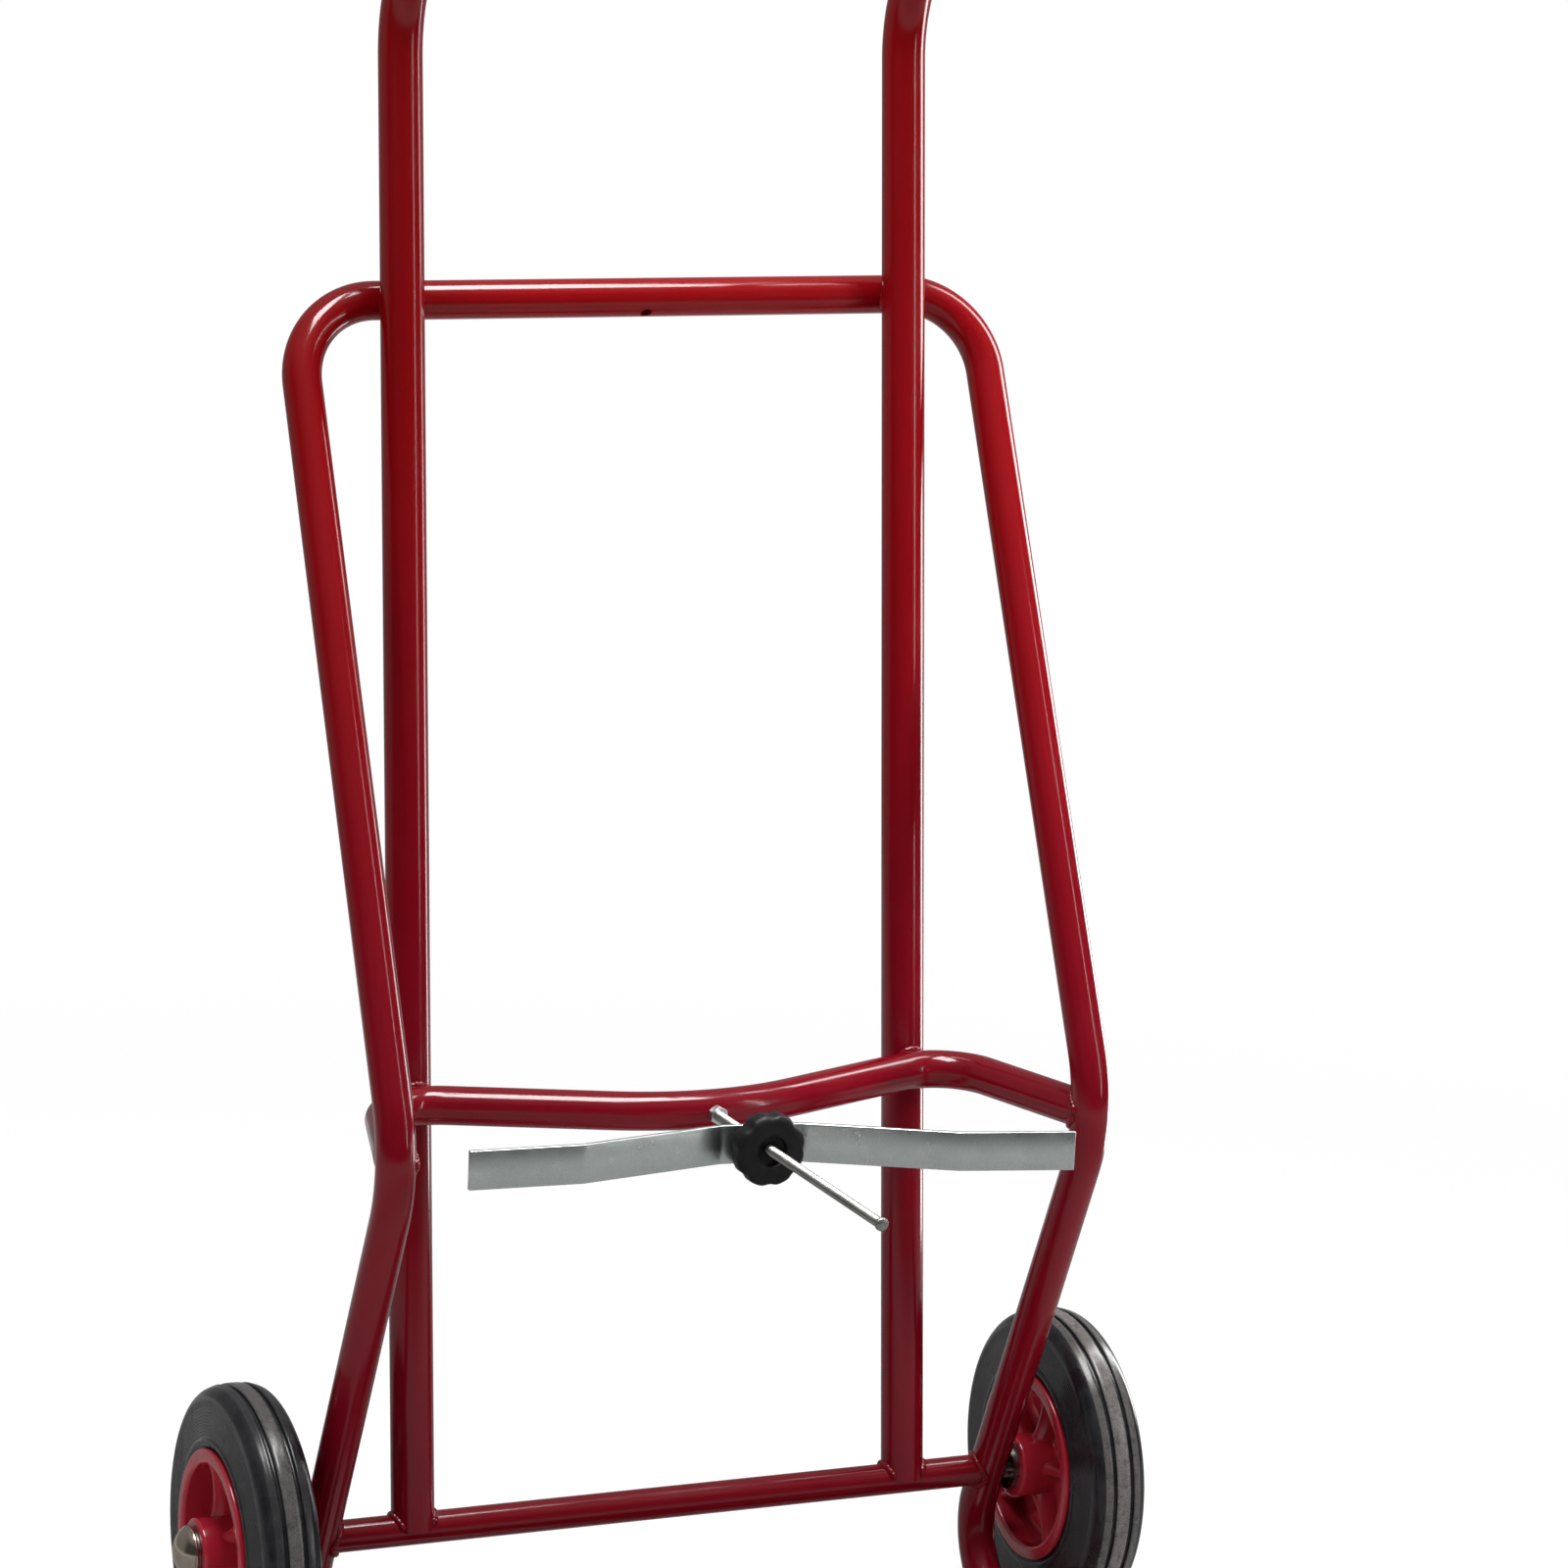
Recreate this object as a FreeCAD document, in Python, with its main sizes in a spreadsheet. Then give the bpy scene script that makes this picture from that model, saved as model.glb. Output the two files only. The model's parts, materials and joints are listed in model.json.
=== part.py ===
import FreeCAD, Part
import math
import os
import Sketcher

# Cylinder hand truck: a bent tube frame on two wheels, with a base plate for two
# gas cylinders and a screw clamp that holds them against a wave-shaped saddle bar.
# Millimetres, +Z up, X to the right, cylinders on the -Y side of the frame.
# The origin is on the floor, at the middle of the base plate's underside.

DIMENSIONS = [
    # wheels and axle
    ("wheel_diameter", 250.0),
    ("wheel_side_gap", 5.0),
    ("axle_back", 120.0),
    ("axle_diameter", 20.0),
    ("axle_clearance", 0.05),
    ("hub_length", 80.0),
    ("hub_diameter", 51.0),
    ("bush_wall", 3.5),
    ("bush_clearance", 0.03),
    ("rim_width", 57.0),
    ("rim_flange_share", 0.616),
    ("rim_seat_share", 0.568),
    ("rim_wall", 5.0),
    ("rim_lip_width", 4.5),
    ("rim_edge_round", 2.0),
    ("web_thickness", 12.0),
    ("spoke_count", 5),
    ("spoke_turn", 65.5),
    ("window_inner_share", 0.5),
    ("window_outer_gap", 4.0),
    ("window_side_angle", 31.0),
    ("window_corner_share", 0.075),
    ("spoke_rib_radius", 7.5),
    ("tyre_side_width", 52.0),
    ("tyre_ring_gap", 3.0),
    ("tyre_ring_width", 4.0),
    ("tyre_ring_rise", 1.0),
    ("tyre_shoulder_width", 45.0),
    ("tyre_shoulder_drop", 15.0),
    ("tyre_shoulder_bulge", 2.1),
    ("tyre_tread_width", 26.0),
    ("tyre_tread_drop", 1.6),
    ("tyre_clearance", 0.05),
    ("groove_offset", 7.5),
    ("groove_width", 3.6),
    ("groove_depth", 3.5),
    ("washer_diameter", 36.0),
    ("washer_thickness", 2.0),
    ("wheel_play", 0.3),
    ("cap_diameter", 41.0),
    ("cap_height", 14.0),
    ("cap_band", 3.0),
    ("axle_end_in_cap", 8.0),
    # tube frame
    ("hoop_width", 570.0),
    ("hoop_tube_diameter", 30.0),
    ("hoop_tube_wall", 2.0),
    ("hoop_top_height", 1060.0),
    ("hoop_joint_drop", 80.0),
    ("hoop_corner_radius", 65.0),
    ("apex_height", 462.0),
    ("apex_forward", 153.0),
    ("apex_bend_radius", 110.0),
    ("foot_back", 49.0),
    ("foot_bend_radius", 60.0),
    ("handle_spacing", 417.0),
    ("handle_tube_diameter", 33.7),
    ("handle_tube_wall", 2.6),
    ("handle_corner_height", 1335.0),
    ("handle_corner_back", 136.0),
    ("handle_bend_radius", 100.0),
    ("handle_reach", 205.0),
    ("handle_rise", 45.0),
    ("grip_length", 112.0),
    ("grip_wall", 4.0),
    ("grip_clearance", 0.1),
    ("grip_end_round", 4.0),
    ("cross_tube_diameter", 25.0),
    ("cross_tube_wall", 2.4),
    ("weld_gap", 0.1),
    ("hang_hole_diameter", 9.0),
    ("hang_hole_tilt", 48.0),
    # base plate
    ("plate_length", 190.0),
    ("plate_thickness", 4.0),
    ("plate_lip_height", 26.0),
    ("plate_bend_radius", 8.0),
    ("rail_end_setback", 24.0),
    ("plug_flange", 4.0),
    ("plug_depth", 18.0),
    ("plug_round", 2.2),
    # saddle bar
    ("saddle_tube_diameter", 30.0),
    ("saddle_tube_wall", 2.0),
    ("saddle_lobe_radius", 45.0),
    ("saddle_cusp_radius", 200.0),
    ("saddle_cusp_forward", 58.0),
    # screw clamp
    ("stud_diameter", 8.0),
    ("stud_reach", 318.0),
    ("stud_tail", 4.0),
    ("stud_tip_diameter", 10.0),
    ("stud_tip_length", 5.0),
    ("stud_clearance", 0.05),
    ("nut_across_flats", 13.0),
    ("nut_height", 6.5),
    ("nut_gap", 0.3),
    ("bar_height", 30.0),
    ("bar_thickness", 4.0),
    ("bar_middle_length", 62.0),
    ("bar_wing_length", 121.0),
    ("bar_wing_angle", 18.7),
    ("bar_end_length", 88.0),
    ("bar_end_angle", 5.0),
    ("bar_bend_radius", 14.0),
    ("bar_hole_diameter", 11.0),
    ("bar_yaw", 8.5),
    ("bar_forward", 98.0),
    ("clamp_washer_diameter", 24.0),
    ("clamp_washer_thickness", 1.6),
    ("clamp_gap", 0.3),
    ("knob_diameter", 56.0),
    ("knob_thickness", 19.0),
    ("knob_edge_radius", 6.0),
    ("knob_lobe_count", 8),
    ("knob_scallop_radius", 11.0),
    ("knob_scallop_depth", 2.6),
    ("knob_recess_diameter", 23.0),
    ("knob_recess_depth", 7.0),
    ("insert_diameter", 14.0),
]

V = FreeCAD.Vector
X_AXIS = V(1, 0, 0)
Z_AXIS = V(0, 0, 1)
SIDES = (("left", -1), ("right", 1))

doc = FreeCAD.newDocument("cylinder_hand_truck")
sheet = doc.addObject("Spreadsheet::Sheet", "Sizes")
for row, (alias, number) in enumerate(DIMENSIONS, start=1):
    sheet.set("A%d" % row, alias)
    sheet.set("B%d" % row, str(number))
    sheet.setAlias("B%d" % row, alias)
doc.recompute()
size = {alias: float(sheet.get(alias)) for alias, number in DIMENSIONS}
nodes = []

# Shared heights, radii and places, as expressions on the sheet
AXLE_Z = "Sizes.wheel_diameter / 2"
AXLE_Y = "Sizes.axle_back"
HOOP_X = "Sizes.hoop_width / 2"
HOOP_R = "Sizes.hoop_tube_diameter / 2"
HANDLE_X = "Sizes.handle_spacing / 2"
HANDLE_R = "Sizes.handle_tube_diameter / 2"
APEX_Y = "(Sizes.axle_back - Sizes.apex_forward)"
CUSP_Y = "(Sizes.axle_back - Sizes.saddle_cusp_forward)"
HANDLE_SLOPE = "(Sizes.handle_corner_back / (Sizes.handle_corner_height - %s))" % AXLE_Z
HANDLE_SKEW = "sqrt(1 + %s ^ 2)" % HANDLE_SLOPE
# The hoop's crossbar lies against the back of the handle tubes
HOOP_TOP_Y = (
    "(Sizes.axle_back + (Sizes.hoop_top_height - %s) * %s + (%s + %s + Sizes.weld_gap) * %s)"
    % (AXLE_Z, HANDLE_SLOPE, HANDLE_R, HOOP_R, HANDLE_SKEW)
)
ARM_SLOPE = "((%s - %s) / (Sizes.hoop_top_height - Sizes.apex_height))" % (HOOP_TOP_Y, APEX_Y)
ARM_SKEW = "sqrt(1 + %s ^ 2)" % ARM_SLOPE
# The saddle bar's lobes lie against the front of the handle tubes
LOBE_Y = (
    "(Sizes.axle_back + (Sizes.apex_height - %s) * %s"
    " - (%s + Sizes.saddle_tube_diameter / 2 + Sizes.weld_gap) * %s)"
    % (AXLE_Z, HANDLE_SLOPE, HANDLE_R, HANDLE_SKEW)
)
RAIL_Z = "(Sizes.plate_thickness + %s + Sizes.weld_gap)" % HOOP_R
# The bend at the apex passes inside its corner point, and the saddle bar ends on the bend
LEG_SLOPE = "((Sizes.apex_forward + Sizes.foot_back) / (Sizes.apex_height - %s))" % RAIL_Z
APEX_INSET = (
    "Sizes.apex_bend_radius * (1 / cos((atan(%s) + atan(%s)) / 2) - 1)" % (ARM_SLOPE, LEG_SLOPE)
)
SADDLE_END_Y = "(%s + %s)" % (APEX_Y, APEX_INSET)
# A wheel stands a gap outside the side tube
WHEEL_X = "(%s + %s + Sizes.wheel_side_gap + Sizes.hub_length / 2)" % (HOOP_X, HOOP_R)
# How far inside a rounded corner the middle of its arc lies, as a share of the radius
ARC_MIDDLE = "(1 - 1 / sqrt(2))"

# The same places as numbers, for placements and first guesses in sketches
axle_z = size["wheel_diameter"] / 2
axle_y = size["axle_back"]
hoop_r = size["hoop_tube_diameter"] / 2
handle_r = size["handle_tube_diameter"] / 2
saddle_r = size["saddle_tube_diameter"] / 2
handle_slope = size["handle_corner_back"] / (size["handle_corner_height"] - axle_z)
handle_skew = math.hypot(1, handle_slope)
apex_y = axle_y - size["apex_forward"]
cusp_y = axle_y - size["saddle_cusp_forward"]
hoop_top_y = (
    axle_y
    + (size["hoop_top_height"] - axle_z) * handle_slope
    + (handle_r + hoop_r + size["weld_gap"]) * handle_skew
)
arm_slope = (hoop_top_y - apex_y) / (size["hoop_top_height"] - size["apex_height"])
lobe_y = (
    axle_y
    + (size["apex_height"] - axle_z) * handle_slope
    - (handle_r + saddle_r + size["weld_gap"]) * handle_skew
)
rail_z = size["plate_thickness"] + hoop_r + size["weld_gap"]
leg_slope = (size["apex_forward"] + size["foot_back"]) / (size["apex_height"] - rail_z)
apex_half_turn = (math.atan(arm_slope) + math.atan(leg_slope)) / 2
saddle_end_y = apex_y + size["apex_bend_radius"] * (1 / math.cos(apex_half_turn) - 1)
bar_y = cusp_y - size["bar_forward"]


def keep(item, label):
    """Name a finished sub-part and list it for export."""
    item.Label = label
    nodes.append(item)
    return item


def bind(item, **expressions):
    """Tie an object's sizes to the sheet."""
    for name, expression in expressions.items():
        item.setExpression(name, expression)
    return item


def place(item, base, rotation=None):
    item.Placement = FreeCAD.Placement(base, rotation or FreeCAD.Rotation())
    return item


def new_body(name):
    return doc.addObject("PartDesign::Body", name)


def new_sketch(body, role, name):
    """An empty sketch on one of the body's own origin planes."""
    sketch = body.newObject("Sketcher::SketchObject", name)
    plane = next(f for f in body.Origin.OriginFeatures if f.Role == role)
    sketch.AttachmentSupport = [(plane, "")]
    sketch.MapMode = "FlatFace"
    return sketch


def pin(sketch, item, vertex, across, up):
    """Fix a point of the sketch at two expressions from its origin."""
    for kind, expression in (("DistanceX", across), ("DistanceY", up)):
        index = sketch.addConstraint(Sketcher.Constraint(kind, -1, 1, item, vertex, 1.0))
        sketch.setExpression("Constraints[%d]" % index, expression)


def set_radius(sketch, item, expression, first_guess):
    index = sketch.addConstraint(Sketcher.Constraint("Radius", item, first_guess))
    sketch.setExpression("Constraints[%d]" % index, expression)


def corner_arc(before, corner, after, radius):
    """The arc of this radius that rounds a corner, as (start, middle, end)."""
    back = (before - corner).normalize()
    ahead = (after - corner).normalize()
    half = back.getAngle(ahead) / 2
    reach = radius / math.tan(half)
    inward = (back + ahead).normalize()
    centre = corner + inward * (radius / math.sin(half))
    return corner + back * reach, centre - inward * radius, corner + ahead * reach


def path_sketch(body, role, name, corners, radius):
    """A bent centre line: straight runs through corner points, each inner corner an arc."""
    sketch = new_sketch(body, role, name)
    for across, up in corners:
        item = sketch.addGeometry(Part.Point(V(0, 0, 0)), True)
        pin(sketch, item, 1, across, up)
    doc.recompute()
    spots = [V(point.X, point.Y, 0) for point in sketch.Geometry]
    last = len(spots) - 1
    bends = [
        corner_arc(spots[i - 1], spots[i], spots[i + 1], radius[1][i - 1]) for i in range(1, last)
    ]
    start = spots[0]
    previous = None
    for i in range(1, last + 1):
        end = bends[i - 1][0] if i < last else spots[last]
        run = sketch.addGeometry(Part.LineSegment(start, end), False)
        if previous is None:
            sketch.addConstraint(Sketcher.Constraint("Coincident", run, 1, 0, 1))
        else:
            sketch.addConstraint(Sketcher.Constraint("Tangent", previous[0], previous[1], run, 1))
            sketch.addConstraint(Sketcher.Constraint("PointOnObject", i - 1, 1, run))
        if i == last:
            sketch.addConstraint(Sketcher.Constraint("Coincident", run, 2, last, 1))
            break
        sketch.addConstraint(Sketcher.Constraint("PointOnObject", i, 1, run))
        arc = sketch.addGeometry(Part.Arc(*bends[i - 1]), False)
        # a sketch arc runs counter-clockwise, so its first end may be the far one
        near = 1 if sketch.getPoint(arc, 1).distanceToPoint(end) < size["weld_gap"] else 2
        sketch.addConstraint(Sketcher.Constraint("Tangent", run, 2, arc, near))
        set_radius(sketch, arc, radius[0][i - 1], radius[1][i - 1])
        previous = (arc, 3 - near)
        start = bends[i - 1][2]
    doc.recompute()
    return sketch


def section_sketch(body, path, name):
    """A sketch square to the path at its first end."""
    sketch = body.newObject("Sketcher::SketchObject", name)
    sketch.AttachmentSupport = [(path, "Edge1")]
    sketch.MapMode = "NormalToEdge"
    return sketch


def ring_section(body, path, name, outer, inner):
    sketch = section_sketch(body, path, name)
    for guess, expression in ((2.0, outer), (1.0, inner)):
        circle = sketch.addGeometry(Part.Circle(V(0, 0, 0), Z_AXIS, guess), False)
        sketch.addConstraint(Sketcher.Constraint("Coincident", circle, 3, -1, 1))
        set_radius(sketch, circle, expression, guess)
    return sketch


def add_rectangle(sketch, low, high):
    corners = [V(-1, -1, 0), V(1, -1, 0), V(1, 1, 0), V(-1, 1, 0)]
    sides = []
    for i in range(4):
        sides.append(sketch.addGeometry(Part.LineSegment(corners[i], corners[(i + 1) % 4]), False))
    for i in range(4):
        sketch.addConstraint(Sketcher.Constraint("Coincident", sides[i], 2, sides[(i + 1) % 4], 1))
    for i in (0, 2):
        sketch.addConstraint(Sketcher.Constraint("Horizontal", sides[i]))
        sketch.addConstraint(Sketcher.Constraint("Vertical", sides[i + 1]))
    pin(sketch, sides[0], 1, *low)
    pin(sketch, sides[2], 1, *high)


def sweep(body, section, path):
    """The solid that the section leaves along the whole path."""
    doc.recompute()
    pipe = body.newObject("PartDesign::AdditivePipe", body.Name + "_sweep")
    pipe.Profile = section
    pipe.Spine = (path, ["Edge%d" % (i + 1) for i in range(len(path.Shape.Edges))])
    doc.recompute()
    return pipe


def bent_tube(name, role, corners, radius, outer, wall):
    """A round tube along a bent centre line."""
    body = new_body(name)
    path = path_sketch(body, role, name + "_path", corners, radius)
    section = ring_section(body, path, name + "_section", outer, "%s - %s" % (outer, wall))
    sweep(body, section, path)
    return body


def cylinder(name, radius, length, base, rotation):
    """A plain cylinder from base, along its turned Z."""
    item = doc.addObject("Part::Cylinder", name)
    bind(item, Radius=radius, Height=length)
    return place(item, base, rotation)


def cut(name, base, *tools):
    """Base less each tool in turn."""
    for number, tool in enumerate(tools, start=1):
        result = doc.addObject("Part::Cut", "%s_cut%d" % (name, number))
        result.Base = base
        result.Tool = tool
        base = result
    doc.recompute()
    return base


def rounded_corner(along, radius, rounding, way):
    """An outer corner of a turned outline as an arc: its end on the face, its middle, its end on the rim."""
    inset = "%s * %s" % (rounding, ARC_MIDDLE)
    return [
        (along, "%s - %s" % (radius, rounding)),
        ("%s %s %s" % (along, way, inset), "%s - %s" % (radius, inset), "arc"),
        ("%s %s %s" % (along, way, rounding), radius),
    ]


def mirrored(outline):
    """The same outline on the other side of the middle plane."""
    return [("-(%s)" % point[0],) + point[1:] for point in reversed(outline)]


def outline_sketch(body, role, name, points):
    """A closed outline through pinned points, where one marked as an arc is the middle of that arc."""
    sketch = new_sketch(body, role, name)
    marks = []
    for point in points:
        marks.append(sketch.addGeometry(Part.Point(V(0, 0, 0)), True))
        pin(sketch, marks[-1], 1, point[0], point[1])
    doc.recompute()
    spots = [V(sketch.Geometry[mark].X, sketch.Geometry[mark].Y, 0) for mark in marks]
    corners = [i for i, point in enumerate(points) if len(point) == 2]
    for first, last in zip(corners, corners[1:] + corners[:1]):
        middle = (first + 1) % len(points)
        if middle == last:
            side = sketch.addGeometry(Part.LineSegment(spots[first], spots[last]), False)
            near = 1
        else:
            side = sketch.addGeometry(Part.Arc(spots[first], spots[middle], spots[last]), False)
            # a sketch arc runs counter-clockwise, so its first end may be the far one
            near = 1 if sketch.getPoint(side, 1).distanceToPoint(spots[first]) < size["weld_gap"] else 2
            sketch.addConstraint(Sketcher.Constraint("PointOnObject", marks[middle], 1, side))
        sketch.addConstraint(Sketcher.Constraint("Coincident", side, near, marks[first], 1))
        sketch.addConstraint(Sketcher.Constraint("Coincident", side, 3 - near, marks[last], 1))
    doc.recompute()
    return sketch


def turned(name, points):
    """A solid turned about its own X axis, from an outline of (along X, radius) pairs."""
    body = new_body(name)
    sketch = outline_sketch(body, "XY_Plane", name + "_outline", points)
    turn = body.newObject("PartDesign::Revolution", name + "_turn")
    turn.Profile = sketch
    turn.ReferenceAxis = (sketch, ["H_Axis"])
    turn.Angle = 360
    doc.recompute()
    return body


ALONG_X = FreeCAD.Rotation(V(0, 1, 0), 90)
ALONG_MINUS_Y = FreeCAD.Rotation(X_AXIS, 90)
ALONG_HOLE = ALONG_MINUS_Y.multiply(FreeCAD.Rotation(X_AXIS, size["hang_hole_tilt"]))
FLIPPED = FreeCAD.Rotation(Z_AXIS, 180)


# Hoop: the crossbar with its two round corners, in the slanted plane of the side arms
arm_drop = "Sizes.hoop_joint_drop * %s" % ARM_SKEW
hoop_radius = (["Sizes.hoop_corner_radius"] * 2, [size["hoop_corner_radius"]] * 2)
top_corners = [
    ("-" + HOOP_X, "-(%s)" % arm_drop),
    ("-" + HOOP_X, "0"),
    (HOOP_X, "0"),
    (HOOP_X, "-(%s)" % arm_drop),
]
hoop = bent_tube(
    "top_hoop_blank", "XZ_Plane", top_corners, hoop_radius, HOOP_R, "Sizes.hoop_tube_wall"
)
arm_lean = FreeCAD.Rotation(X_AXIS, -math.degrees(math.atan(arm_slope)))
place(hoop, V(0, hoop_top_y, size["hoop_top_height"]), arm_lean)
# the hole at the middle of the crossbar goes through its lower front wall only
hang_hole = cylinder(
    "hang_hole",
    "Sizes.hang_hole_diameter / 2",
    HOOP_R,
    V(0, hoop_top_y, size["hoop_top_height"]),
    ALONG_HOLE,
)
keep(cut("top_hoop", hoop, hang_hole), "top_hoop")

# Side tubes: arm down to the apex, leg back to the axle, then a rail on the base plate
joint_y = "(%s - Sizes.hoop_joint_drop * %s)" % (HOOP_TOP_Y, ARM_SLOPE)
side_corners = [
    (joint_y, "Sizes.hoop_top_height - Sizes.hoop_joint_drop"),
    (APEX_Y, "Sizes.apex_height"),
    ("Sizes.axle_back + Sizes.foot_back", RAIL_Z),
    ("-Sizes.plate_length / 2 + Sizes.rail_end_setback", RAIL_Z),
]
side_radius = (
    ["Sizes.apex_bend_radius", "Sizes.foot_bend_radius"],
    [size["apex_bend_radius"], size["foot_bend_radius"]],
)
side_x = size["hoop_width"] / 2
for side, sign in SIDES:
    tube = bent_tube(
        side + "_side_blank", "YZ_Plane", side_corners, side_radius, HOOP_R, "Sizes.hoop_tube_wall"
    )
    place(tube, V(sign * side_x, 0, 0))
    axle_hole = cylinder(
        side + "_axle_hole",
        "Sizes.axle_diameter / 2 + Sizes.axle_clearance",
        "Sizes.hoop_tube_diameter * 2",
        V(sign * side_x - size["hoop_tube_diameter"], axle_y, axle_z),
        ALONG_X,
    )
    keep(cut(side + "_side_tube", tube, axle_hole), side + "_side_tube")

# Lower cross tube between the side tubes, its ends coped to them, and the axle inside it
leg_run = V(0, leg_slope, -1)
leg_turn = FreeCAD.Rotation(Z_AXIS, leg_run)
leg_length = "Sizes.apex_height"
cross_body = doc.addObject("Part::Cylinder", "cross_tube_blank")
bind(cross_body, Radius="Sizes.cross_tube_diameter / 2", Height="Sizes.hoop_width")
place(cross_body, V(-side_x, axle_y, axle_z), ALONG_X)
cross_bore = cylinder(
    "cross_tube_bore",
    "Sizes.cross_tube_diameter / 2 - Sizes.cross_tube_wall",
    "Sizes.hoop_width",
    V(-side_x, axle_y, axle_z),
    ALONG_X,
)
cope_tools = [
    cylinder(
        "%s_leg_cope" % side,
        HOOP_R + " + Sizes.weld_gap",
        leg_length,
        V(sign * side_x, apex_y, size["apex_height"]),
        leg_turn,
    )
    for side, sign in SIDES
]
keep(cut("lower_cross_tube", cross_body, cross_bore, *cope_tools), "lower_cross_tube")

axle_half = (
    "(%s + Sizes.hub_length / 2 + Sizes.wheel_play + Sizes.washer_thickness + Sizes.axle_end_in_cap)"
    % WHEEL_X
)
half_hub_length = size["hub_length"] / 2
wheel_x = side_x + hoop_r + size["wheel_side_gap"] + half_hub_length
outer_seat_x = wheel_x + half_hub_length + size["wheel_play"]
axle_half_length = outer_seat_x + size["washer_thickness"] + size["axle_end_in_cap"]
axle = cylinder(
    "axle",
    "Sizes.axle_diameter / 2",
    "2 * " + axle_half,
    V(-axle_half_length, axle_y, axle_z),
    ALONG_X,
)
keep(axle, "axle")

# Handle tubes stand on the cross tube, lean back, and bend forward into the grips
handle_corners = [
    (AXLE_Y, AXLE_Z),
    ("Sizes.axle_back + Sizes.handle_corner_back", "Sizes.handle_corner_height"),
    (
        "Sizes.axle_back + Sizes.handle_corner_back - Sizes.handle_reach",
        "Sizes.handle_corner_height + Sizes.handle_rise",
    ),
]
handle_radius = (["Sizes.handle_bend_radius"], [size["handle_bend_radius"]])
handle_x = size["handle_spacing"] / 2
grip_run = V(0, -size["handle_reach"], size["handle_rise"])
grip_turn = FreeCAD.Rotation(X_AXIS, grip_run)
handle_end = V(
    0,
    axle_y + size["handle_corner_back"] - size["handle_reach"],
    size["handle_corner_height"] + size["handle_rise"],
)
grip_bore = "(%s + Sizes.grip_clearance)" % HANDLE_R
grip_outer = "(%s + Sizes.grip_clearance + Sizes.grip_wall)" % HANDLE_R
grip_outline = [
    ("-Sizes.grip_length", grip_bore),
    ("Sizes.weld_gap", grip_bore),
    ("Sizes.weld_gap", "0"),
    ("Sizes.grip_wall", "0"),
    *rounded_corner("Sizes.grip_wall", grip_outer, "Sizes.grip_end_round", "-"),
    ("-Sizes.grip_length + Sizes.grip_wall", grip_outer),
    ("-Sizes.grip_length + Sizes.grip_wall", grip_outer + " + Sizes.grip_wall"),
    ("-Sizes.grip_length", grip_outer + " + Sizes.grip_wall"),
]
for side, sign in SIDES:
    tube = bent_tube(
        side + "_handle_blank",
        "YZ_Plane",
        handle_corners,
        handle_radius,
        HANDLE_R,
        "Sizes.handle_tube_wall",
    )
    place(tube, V(sign * handle_x, 0, 0))
    foot_cope = cylinder(
        side + "_handle_cope",
        "Sizes.cross_tube_diameter / 2 + Sizes.weld_gap",
        "Sizes.handle_tube_diameter * 2",
        V(sign * handle_x - size["handle_tube_diameter"], axle_y, axle_z),
        ALONG_X,
    )
    # what would hang below the cross tube's middle is cut away too
    below = doc.addObject("Part::Box", side + "_handle_trim")
    bind(
        below,
        Length="Sizes.handle_tube_diameter * 2",
        Width="Sizes.handle_tube_diameter * 2",
        Height="Sizes.handle_tube_diameter",
    )
    place(
        below,
        V(
            sign * handle_x - size["handle_tube_diameter"],
            axle_y - size["handle_tube_diameter"],
            axle_z - size["handle_tube_diameter"],
        ),
    )
    keep(cut(side + "_handle_tube", tube, foot_cope, below), side + "_handle_tube")
    grip = turned(side + "_grip_body", grip_outline)
    place(grip, handle_end + V(sign * handle_x, 0, 0), grip_turn)
    keep(grip, side + "_handle_grip")

# Base plate: one bent sheet on the floor, with a low lip at the front
plate_body = new_body("base_plate_body")
plate_corners = [
    ("Sizes.plate_length / 2", "Sizes.plate_thickness / 2"),
    ("-Sizes.plate_length / 2 + Sizes.plate_thickness / 2", "Sizes.plate_thickness / 2"),
    ("-Sizes.plate_length / 2 + Sizes.plate_thickness / 2", "Sizes.plate_lip_height"),
]
plate_radius = (["Sizes.plate_bend_radius"], [size["plate_bend_radius"]])
plate_path = path_sketch(plate_body, "YZ_Plane", "base_plate_path", plate_corners, plate_radius)
plate_section = section_sketch(plate_body, plate_path, "base_plate_section")
doc.recompute()
# the section's own axes lie along the sheet's thickness and width
plate_spread = "(Sizes.hoop_width + Sizes.hoop_tube_diameter)"
section_up = plate_section.getGlobalPlacement().Rotation.multVec(V(0, 1, 0))
plate_sizes = [plate_spread, "Sizes.plate_thickness"]
if abs(section_up.x) > abs(section_up.z):
    plate_sizes.reverse()
add_rectangle(
    plate_section,
    ["-%s / 2" % word for word in plate_sizes],
    ["%s / 2" % word for word in plate_sizes],
)
sweep(plate_body, plate_section, plate_path)
keep(plate_body, "base_plate")

# Plugs close the front ends of the two rails
rail_bore = "(%s - Sizes.hoop_tube_wall - Sizes.weld_gap)" % HOOP_R
plug_outline = [
    ("-Sizes.plug_depth", "0"),
    ("-Sizes.plug_depth", rail_bore),
    ("0", rail_bore),
    ("0", HOOP_R),
    *reversed(rounded_corner("Sizes.plug_flange", HOOP_R, "Sizes.plug_round", "-")),
    ("Sizes.plug_flange", "0"),
]
for side, sign in SIDES:
    plug = turned(side + "_plug_body", plug_outline)
    rail_end = V(sign * side_x, -size["plate_length"] / 2 + size["rail_end_setback"], rail_z)
    place(plug, rail_end, FreeCAD.Rotation(Z_AXIS, -90))
    keep(plug, side + "_rail_plug")


def tangent_from(point, centre, radius, turn):
    """Where the line from a point touches a circle, on the side that turn (+1 or -1) picks."""
    reach = centre - point
    gap = reach.Length
    along = gap * gap - radius * radius
    across = V(-reach.y, reach.x, 0) * (turn * radius * math.sqrt(along) / (gap * gap))
    return point + reach * (along / (gap * gap)) + across


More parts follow.
